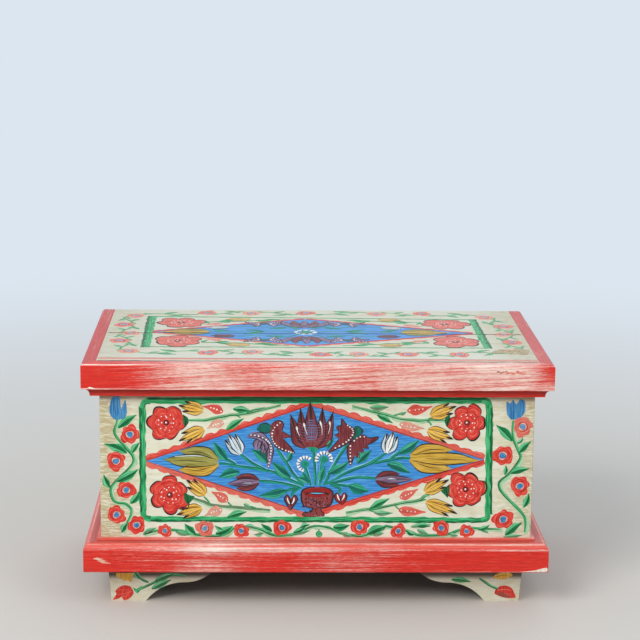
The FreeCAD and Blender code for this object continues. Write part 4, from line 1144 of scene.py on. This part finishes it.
# top of the lid, across and back from its middle; the bouquet is the same to the left and right
lid = {
    "frame": [(-211, 114), (-209, -67), (210, -67), (208, 102)], "bars": (12, 3.0, 11, 3.0),
    "diamond": [(-205, 20), (-11, 101), (200, 18), (-12, -58)], "band": 6.0, "bows": 14,
    "roses": [((-171, 76), 0.2, (-1, -0.8)), ((-171, -33), 0.5, (-1, -0.8)), ((170, 72), 0.1, (1, -0.8)),
              ((174, -33), 0.4, (1, -0.8))],
    "tulips": [((-82, 98), (-116, 97)), ((-82, -54), (-114, -52)), ((84, 97), (116, 96)),
               ((78, -54), (110, -52))],
    "spray": [(-142, -42), (-122, -42), (-98, -44), (-66, -52), (-34, -57)],
    "sprayLeaves": [((-126, -42), (-108, -36)), ((-122, -43), (-104, -52)), ((-76, -49), (-54, -45)),
                    ((-66, -52), (-44, -57)), ((-142, -40), (-134, -30))],
    "drops": [((-142, 62), (-118, 72)), ((-140, -20), (-117, -32)), ((140, 58), (116, 68)),
              ((142, -22), (118, -34))],
    "middle": -12,
    "stems": [[(0, 22), (22, 52), (48, 66)], [(0, 20), (40, 26), (84, 24), (128, 22)],
              [(0, 18), (24, -8), (50, -22)], [(30, 44), (70, 54), (100, 48)],
              [(20, 8), (62, 0), (92, -6)]],
    "leaves": [((24, 48), (46, 40)), ((52, 24), (76, 36)), ((54, 22), (78, 8)), ((26, -4), (50, -4)),
               ((96, 24), (118, 34)), ((8, 44), (20, 62))],
    # colours, base, tip, width, edge, flare and reach
    "blooms": [(("olive", "ochre", "olive"), (122, 21), (184, 19), 32, 0.8, 0.36, 0.7),
               (("mist", "white", "mist"), (98, 48), (126, 44), 16, 0.6, 0.42, 0.86),
               (("slate", "maroon", "slate"), (90, -5), (120, -3), 16, 0.6, 0.42, 0.86)],
    "starPlaces": [(52, 70, 1), (52, -26, -1)],
    "calyx": [(-6, 2), (0, 7), (6, 2), (0, -4)],
    "wings": [((-12, 0),
               [(-3, 5), (-12, 8), (-24, 16), (-20, 6), (-28, -2), (-18, -4), (-14, -16), (-5, -5)]),
              ((12, 0), [(3, 5), (12, 8), (26, 12), (20, 3), (28, -6), (17, -5), (10, -18), (4, -6)])],
    "dotted": [[(-20, 12), (-8, 2), (-12, -12)], [(22, 10), (8, 2), (9, -14)]],
    "fans": [(30, 92), (10, -48)],
    "flowers": [[(-140, 140), (-233, 119), (-244, 62), (-233, 11), (-243, -33), (-228, -91), (-132, -98)],
                [(-132, -98), (-79, -94), (4, -106), (50, -104), (109, -104), (172, -104)],
                [(172, -104), (240, -86), (244, -34), (239, 11), (244, 60), (226, 117), (145, 139)],
                [(145, 139), (84, 136), (-9, 140), (-81, 137), (-140, 140)]],
    "stain": (233.0, -88.0), "stainSize": (20, 11), "blots": 26,
    "lining": [(-262, -131), (0, -132.5), (262, -135)],
    "liningEdge": [(-262, -127.4), (0, -129), (262, -131.4)],
    "joint": [(-262, 12), (-120, 11.6), (40, 12.2), (150, 11.5), (262, 12)],
    "jointBack": [0.1, 0.1, 0.15, 0.2, 0.35, 0.55, 0.6, 0.3],
    "jointFront": [0.1, 0.15, 0.1, 0.2, 0.3, 0.4, 0.5, 0.4],
    "frontJoint": [(-262, -143), (0, -143.2), (262, -143)],
}
middle = lid["middle"]
for k, width in enumerate(lid["bars"]):
    bar("lid", lid["frame"][k], lid["frame"][(k + 1) % 4], width, 3)
diamond("lid", *lid["diamond"], lid["band"], lid["bows"])
for centre, turn, shade in lid["roses"]:
    rose("lid", centre, 31, turn, shade, tone=0.22)
for base, tip in lid["tulips"]:
    tulip("lid", ["yellow"] * 3, base, tip, 17, 3, 0.35, tone=0.35)
for flipX, flipY in ((1, 1), (-1, 1), (1, -1), (-1, -1)):
    flip = lambda p: (p[0] if flipX > 0 else -p[0] - 2, p[1] if flipY > 0 else 41 - p[1])
    stem("lid", "leaf", [flip(p) for p in lid["spray"]], 3.2, 3, 0.1)
    for base, tip in lid["sprayLeaves"]:
        leaf("lid", "leaf", flip(base), flip(tip), 9, 1.0, 4)
for tip, end in lid["drops"]:
    drop("lid", tip, end, 10, 0.35)
for side in (-1, 1):
    flip = lambda p: (middle + side * p[0], p[1])
    stems("lid", "teal", [[flip(p) for p in line] for line in lid["stems"]], 2.8)
    for base, tip in lid["leaves"]:
        leaf("lid", "teal", flip(base), flip(tip), 10, 1.0, 4)
    for colours, base, tip, width, edge, flare, reach in lid["blooms"]:
        tulip("lid", colours, flip(base), flip(tip), width, 5, edge, flare, reach)
    for x, y, up in lid["starPlaces"]:
        spots = lambda points: [flip((x + p[0], y + up * p[1])) for p in points]
        wings = [("slate", spots([centre])[0], spots(outline)) for centre, outline in lid["wings"]]
        starFlower("lid", spots(lid["calyx"]), wings, [spots(line) for line in lid["dotted"]])
for base, tip in lid["fans"]:
    stem("lid", "teal", [(middle, 20), (middle, base)], 3.0)
    way = tip - base
    for lean in (-24, 24, -12, 12, 0):
        line = [(middle, base + way * 0.3), (middle + lean, base + way * 0.6),
                (middle + lean * 1.15, tip - abs(lean) * way / 260)]
        petal("lid", "maroon" if lean % 24 else "slate", line, 13, 5, edge=0.8)
daisy("lid", (middle, 20), 15, 0.0, 6.0)
for run in lid["flowers"]:
    garland("lid", run, 13.5, 10.5, 1.8, True, (0.4, 0.65, 0.3, 0.75), 1.3, 0.3)
for k in range(lid["blots"]):  # a stain, in many small blots
    blot = np.array(lid["stain"]) + rand.uniform(-1, 1, 2) * lid["stainSize"]
    radius, tone = rand.uniform(3, 7), rand.uniform(0.0, 0.45)
    disc("lid", "stain", blot, radius, 9, 5, 0.3, k, tone=tone, count=14, wild=3)
ribbon("lid", "red", lid["lining"], wavy(30, 3.8, 0.6), wavy(30, 3.8, 0.6), 2, 0.5, 80)
pen("lid", lid["liningEdge"], 1.6, 3, "redDark", 80)
ribbon("lid", "crack", lid["joint"], lid["jointBack"], lid["jointFront"], 9, rows=120)
ribbon("lid", "crack", lid["frontJoint"], wavy(80, 1.6, 0.6), wavy(80, 1.3, 0.5), 2, rows=160)
print("lid painted")

# front feet
feet = {
    "red": [[(-222.5, 13.5), (-226, 19), (-233.5, 20.5), (-241, 17), (-244.5, 12), (-243, 9), (-247.5, 0.8),
             (-239.5, 3.2), (-237, 5.5), (-234.5, 0.8), (-230, 1), (-225, 5), (-222, 9.5)],
            [(220.5, 15.5), (226, 19.5), (232.5, 20.5), (239, 18), (242, 14.5), (244.5, 9), (246, 4.5),
             (240, 3.5), (233, 4), (226, 6), (219.5, 9.5)]],
    "yellow": [[(-243, 36.5), (-222, 36.5), (-222.5, 33), (-225, 24), (-229, 28), (-233, 25), (-238, 30),
                (-243, 31)], [(216, 31), (222, 36), (234, 38), (241, 35), (236, 30), (227, 28)]],
    "leaf": [[(-223.5, 18), (-219, 15.5), (-212, 19.5), (-213, 15), (-217.5, 9.5), (-221, 13)]],
    "coralStrokes": [((-224, 14), (-241, 15)), ((-225, 12), (-242, 8)), ((-227, 9), (-236, 5)),
                     ((223, 14), (240, 14)), ((224, 11), (240, 7))],
    "ochreStrokes": [((-238, 36), (-237, 30)), ((-232, 36), (-231, 28)), ((-226, 36), (-227, 28)),
                     ((219, 32), (236, 34))],
    "stems": [[(-217, 14), (-205, 20), (-190, 28), (-175, 34), (-158, 33)],
              [(-218, 37), (-212, 29), (-204, 24)], [(200, 30), (214, 20), (224, 16)]],
    "leaves": [((-200, 15.5), (-176, 27.5)), ((-196, 26), (-172, 36)), ((-214, 29), (-222, 39)),
               ((166, 28.5), (190, 25.5))],
    "scuff": [(221, 9), (226, 12), (233, 10), (240, 6), (238, 4.2), (229, 5)],
}
for colour in ("red", "yellow", "leaf"):
    blobs("feet", colour, feet[colour], 3)
pens("feet", "coral", [bent(*ends, 0.8) for ends in feet["coralStrokes"]], 1.6, 4)
pens("feet", "ochre", [bent(*ends, 0.5) for ends in feet["ochreStrokes"]], 1.5, 4)
stems("feet", "leaf", feet["stems"], 3.4, 3, 0.15)
for base, tip in feet["leaves"]:
    leaf("feet", "leaf", base, tip, 8, 0.8, 4, 0.1)
shape("feet", "redDark", (230, 8), feet["scuff"], 5, 0, 0.12)

# knocks in the red mouldings, and the dabs over the lid's nails
knocks = {
    "rubbed": 10, "rubbedFrom": (-267.0, 64.6), "rubbedOn": (1.1, -0.55),
    "dabs": 12, "dabsFrom": (212.0, 294.5), "dabsOn": (2.5, 0.0),
    "base": [(245, 48.2), (262, 49.6), (277.8, 53.5), (277.8, 48.2)],
    "fascia": [(-272, 275.6), (-269, 276), (-264, 274.6), (-262, 273.8), (-268, 273.6)],
}
for k in range(knocks["rubbed"]):
    p = np.array(knocks["rubbedFrom"]) + np.array(knocks["rubbedOn"]) * k + rand.uniform(-1.2, 1.2, 2)
    line = bent(p, p + (rand.uniform(6, 11), rand.uniform(-2.2, -0.4)), 0.3)
    colour = "coral" if k % 3 or k > 5 else "chip"
    ribbon("base", colour, line, [0.2, 0.7, 0.5, 0.1], [0.2, 0.6, 0.5, 0.1], 2, 0.75)
for face in ("base", "fascia"):
    blobs(face, "chip", [knocks[face]], 2)
for k in range(knocks["dabs"]):
    p = np.array(knocks["dabsFrom"]) + np.array(knocks["dabsOn"]) * k + rand.uniform(-1.8, 1.8, 2)
    line = bent(p, p + (rand.uniform(3, 6), rand.uniform(0, 1.6)), 0.4)
    ribbon("fascia", "redDark" if k < 3 else "red", line, [0.3, 1.0, 0.7, 0.2], [0.3, 0.9, 0.6, 0.2], 2, 0.3)

# ends of the chest: a smaller version of the front, the same to both sides of the middle
ends = {
    "frame": [(-104, 240), (-104, 104), (104, 104), (104, 240)], "bars": (6.5, 6.5, 6.5, 6.5),
    "diamond": [(-98, 172), (0, 232), (98, 172), (0, 112)], "band": 5.4, "bows": 9,
    "stem": [(20, 172), (36, 178), (52, 174)],
    "leaves": [((14, 194), (34, 206)), ((14, 156), (34, 142)), ((30, 178), (46, 190)),
               ((30, 168), (46, 156))],
    "sideFlowers": [(120, 232), (120, 194), (121, 154), (119, 114)],
    "lowFlowers": [(-76, 93), (-26, 94), (26, 93), (76, 94)],
}
for end in ("leftEnd", "rightEnd"):
    panelFrame(end, ends["frame"], ends["bars"])
    diamond(end, *ends["diamond"], ends["band"], ends["bows"])
    rose(end, (0, 176), 24, 0.2, (-1, -0.7), 5)
    for x in (-1, 1):
        flip = lambda p: (x * p[0], p[1])
        stem(end, "teal", [flip(p) for p in ends["stem"]], 2.6)
        tulip(end, ["maroon"] * 3, flip((50, 174)), flip((82, 172)), 18, 4, 0.7)
        for base, tip in ends["leaves"]:
            leaf(end, "teal", flip(base), flip(tip), 9, x, 4)
        tulip(end, ("white", "mist", "white"), flip((4, 198)), flip((14, 216)), 13, 4, 0.6)
        tulip(end, ("yellow", "ochre", "yellow"), flip((4, 152)), flip((14, 132)), 14, 4, 0.6)
        for z, rise in ((222, 8), (122, -8)):
            blossom(end, (x * 84, z), 12, 0.3 * x, 3)
            leaf(end, "leaf", (x * 72, z), (x * 52, z + rise), 7, x, 3)
        garland(end, [flip(p) for p in ends["sideFlowers"]], 9.5, 4.0)
    garland(end, ends["lowFlowers"], 7.0, 3.0)
print("feet and ends painted")

# colours of the brush: plain, where it lies thin and light, where it lies thick and dark
paintColours = {
    "red": ((214, 48, 38), (229, 84, 68), (176, 28, 24)),
    "redDark": ((148, 26, 26), (172, 40, 36), (104, 16, 20)),
    "coral": ((230, 94, 78), (240, 134, 116), (214, 62, 52)),
    "leaf": ((20, 154, 86), (88, 194, 130), (6, 110, 60)),
    "leafDark": ((6, 92, 50), (14, 122, 66), (4, 60, 36)),
    "leafLight": ((96, 192, 134), (140, 214, 168), (60, 166, 104)),
    "teal": ((10, 134, 104), (44, 164, 130), (6, 102, 86)),
    "tealDark": ((6, 92, 80), (12, 116, 98), (4, 66, 62)),
    "tealLight": ((56, 168, 134), (96, 190, 160), (30, 144, 114)),
    "blue": ((50, 134, 206), (86, 164, 224), (38, 114, 188)),
    "paleBlue": ((116, 178, 222), (152, 202, 232), (84, 156, 212)),
    "sky": ((52, 124, 178), (88, 154, 198), (34, 92, 146)),
    "ochre": ((200, 156, 44), (220, 182, 86), (168, 126, 34)),
    "olive": ((146, 142, 62), (176, 168, 92), (112, 112, 48)),
    "yellow": ((232, 176, 58), (242, 204, 110), (206, 146, 40)),
    "maroon": ((114, 40, 45), (144, 66, 72), (76, 26, 34)),
    "slate": ((116, 86, 112), (150, 128, 160), (84, 52, 74)),
    "russet": ((136, 50, 48), (160, 76, 74), (98, 30, 34)),
    "white": ((240, 241, 236), (250, 250, 247), (214, 220, 220)),
    "mist": ((198, 216, 224), (228, 236, 238), (160, 188, 208)),
    "stain": ((158, 136, 92), (186, 170, 132), (124, 98, 60)),
    "chip": ((238, 228, 212), (246, 240, 230), (220, 204, 178)),
    "ink": ((32, 25, 25), (58, 44, 42), (16, 13, 13)),
    "crack": ((70, 52, 38), (112, 86, 62), (38, 28, 22)),
}


def makePaint(name, plain, light, dark):
    # the brush's sweep goes light and dark along the stroke, and pale strokes let the ground through
    material, shader = newMaterial(name + "Paint", **{"Specular IOR Level": 0.3})
    brush = put("Attribute", attribute_name="brush").outputs["Vector"]
    tone = put("SeparateXYZ", {0: brush}).outputs[2]
    marks = placeGroup(brushMarks, {"Place": brush, "Stretch": (0.04, 0.75, 0.0), "Shift": 1.0})
    colour = mixed(step(marks["Broad"], 0.45, 0.62), tint(*plain), tint(*light))
    colour = mixed(step(marks["Broad"], 0.49, 0.35), colour, tint(*dark))
    colour = mixed(times(step(marks["Fine"], 0.5, 0.68), 0.5), colour, tint(*light))
    thin = calc("MULTIPLY", tone, step(marks["Fine"], 0.3, 0.62), clamp=True)
    colour = mixed(thin, colour, ground["ivory"])
    fill(shader, {"Base Color": colour, "Roughness": plus(0.34, times(marks["Fine"], 0.22))})
    roughen(shader, marks["Fine"], 0.12, 0.4)
    return material


def newPiece(name, place, faces, material):
    # a mesh of places and faces, at the origin
    mesh = bpy.data.meshes.new(name)
    mesh.from_pydata(place, [], faces)
    mesh.materials.append(material)
    piece = bpy.data.objects.new(name, mesh)
    scene.collection.objects.link(piece)
    return piece, mesh


paints = {name: makePaint(name, *shades) for name, shades in paintColours.items()}
for (canvas, colour), strokes in pots.items():
    starts = np.cumsum([0] + [len(s[0]) for s in strokes[:-1]])
    place = np.concatenate([s[0] for s in strokes])
    faces = np.concatenate([s[1] + n for s, n in zip(strokes, starts)])
    brush = np.concatenate([s[2] for s in strokes]).astype(np.float32)
    piece, mesh = newPiece(canvas + "_" + colour + "_paint", place, faces.tolist(), paints[colour])
    mesh.attributes.new("brush", "FLOAT_VECTOR", "POINT").data.foreach_set("vector", brush.ravel())
    welded = bmesh.new()
    welded.from_mesh(mesh)
    bmesh.ops.remove_doubles(welded, verts=welded.verts, dist=film["weld"])
    welded.to_mesh(mesh)
    welded.free()
    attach(piece, canvases[canvas]["body"])
faceCount = sum(len(s[1]) for strokes in pots.values() for s in strokes)
print("paint laid:", strokeCount[0], "strokes,", faceCount, "faces")

# studio: an even sky for what the camera sees, brighter above for the light
setCamera(cameraView)
for name, values in lamps.items():
    addLamp(name, values)
world = bpy.data.worlds.new("studio")
scene.world = world
world.use_nodes = True
bench["tree"] = world.node_tree
height = put("SeparateXYZ", {0: put("TexCoord").outputs["Generated"]}).outputs[2]
rise = times(step(height, *room["skyRise"]), room["skyHigh"] - room["skyLow"])
light = {0: seenRays(), 2: plus(room["skyLow"], rise), 3: 1.0}
strength = put("Mix", light, data_type="FLOAT").outputs[0]
fill(world.node_tree.nodes["Background"], {"Color": room["sky"], "Strength": strength})

# floor: rings of faces round the chest
corners, ring = room["corners"], np.array(room["rings"])[:, None, None]
around = circle(np.linspace(0, 2 * math.pi, corners + 1)[:-1])
place = np.concatenate([ring * around, np.zeros((len(ring), corners, 1))], -1).reshape(-1, 3)
k = np.arange(len(place)).reshape(-1, corners)
after = np.roll(k, -1, axis=1)
faces = np.stack([k[:-1], k[1:], after[1:], after[:-1]], -1).reshape(-1, 4).tolist()
material, shader = newMaterial("paleFloor", Roughness=0.85)
coords = put("TexCoord").outputs["Object"]
cloud = noise(coords, 0.7, 2.0)
fill(shader, {"Base Color": mixed(cloud, room["floor"], room["floorCloud"])})
# far from the chest the floor turns into the pale backdrop, as the camera and reflections see it
reach = put("VectorMath", {0: coords}, operation="LENGTH").outputs["Value"]
faded = times(step(reach, *room["fade"]), seenRays())
glow = put("Emission", {"Color": room["far"], "Strength": 1.0})
blend = put("MixShader", {0: faded, 1: shader.outputs[0], 2: glow.outputs[0]})
fill(material.node_tree.nodes["Material Output"], {"Surface": blend.outputs[0]})
floor, mesh = newPiece("floor", place, faces + [k[0].tolist()], material)
print("studio ready")
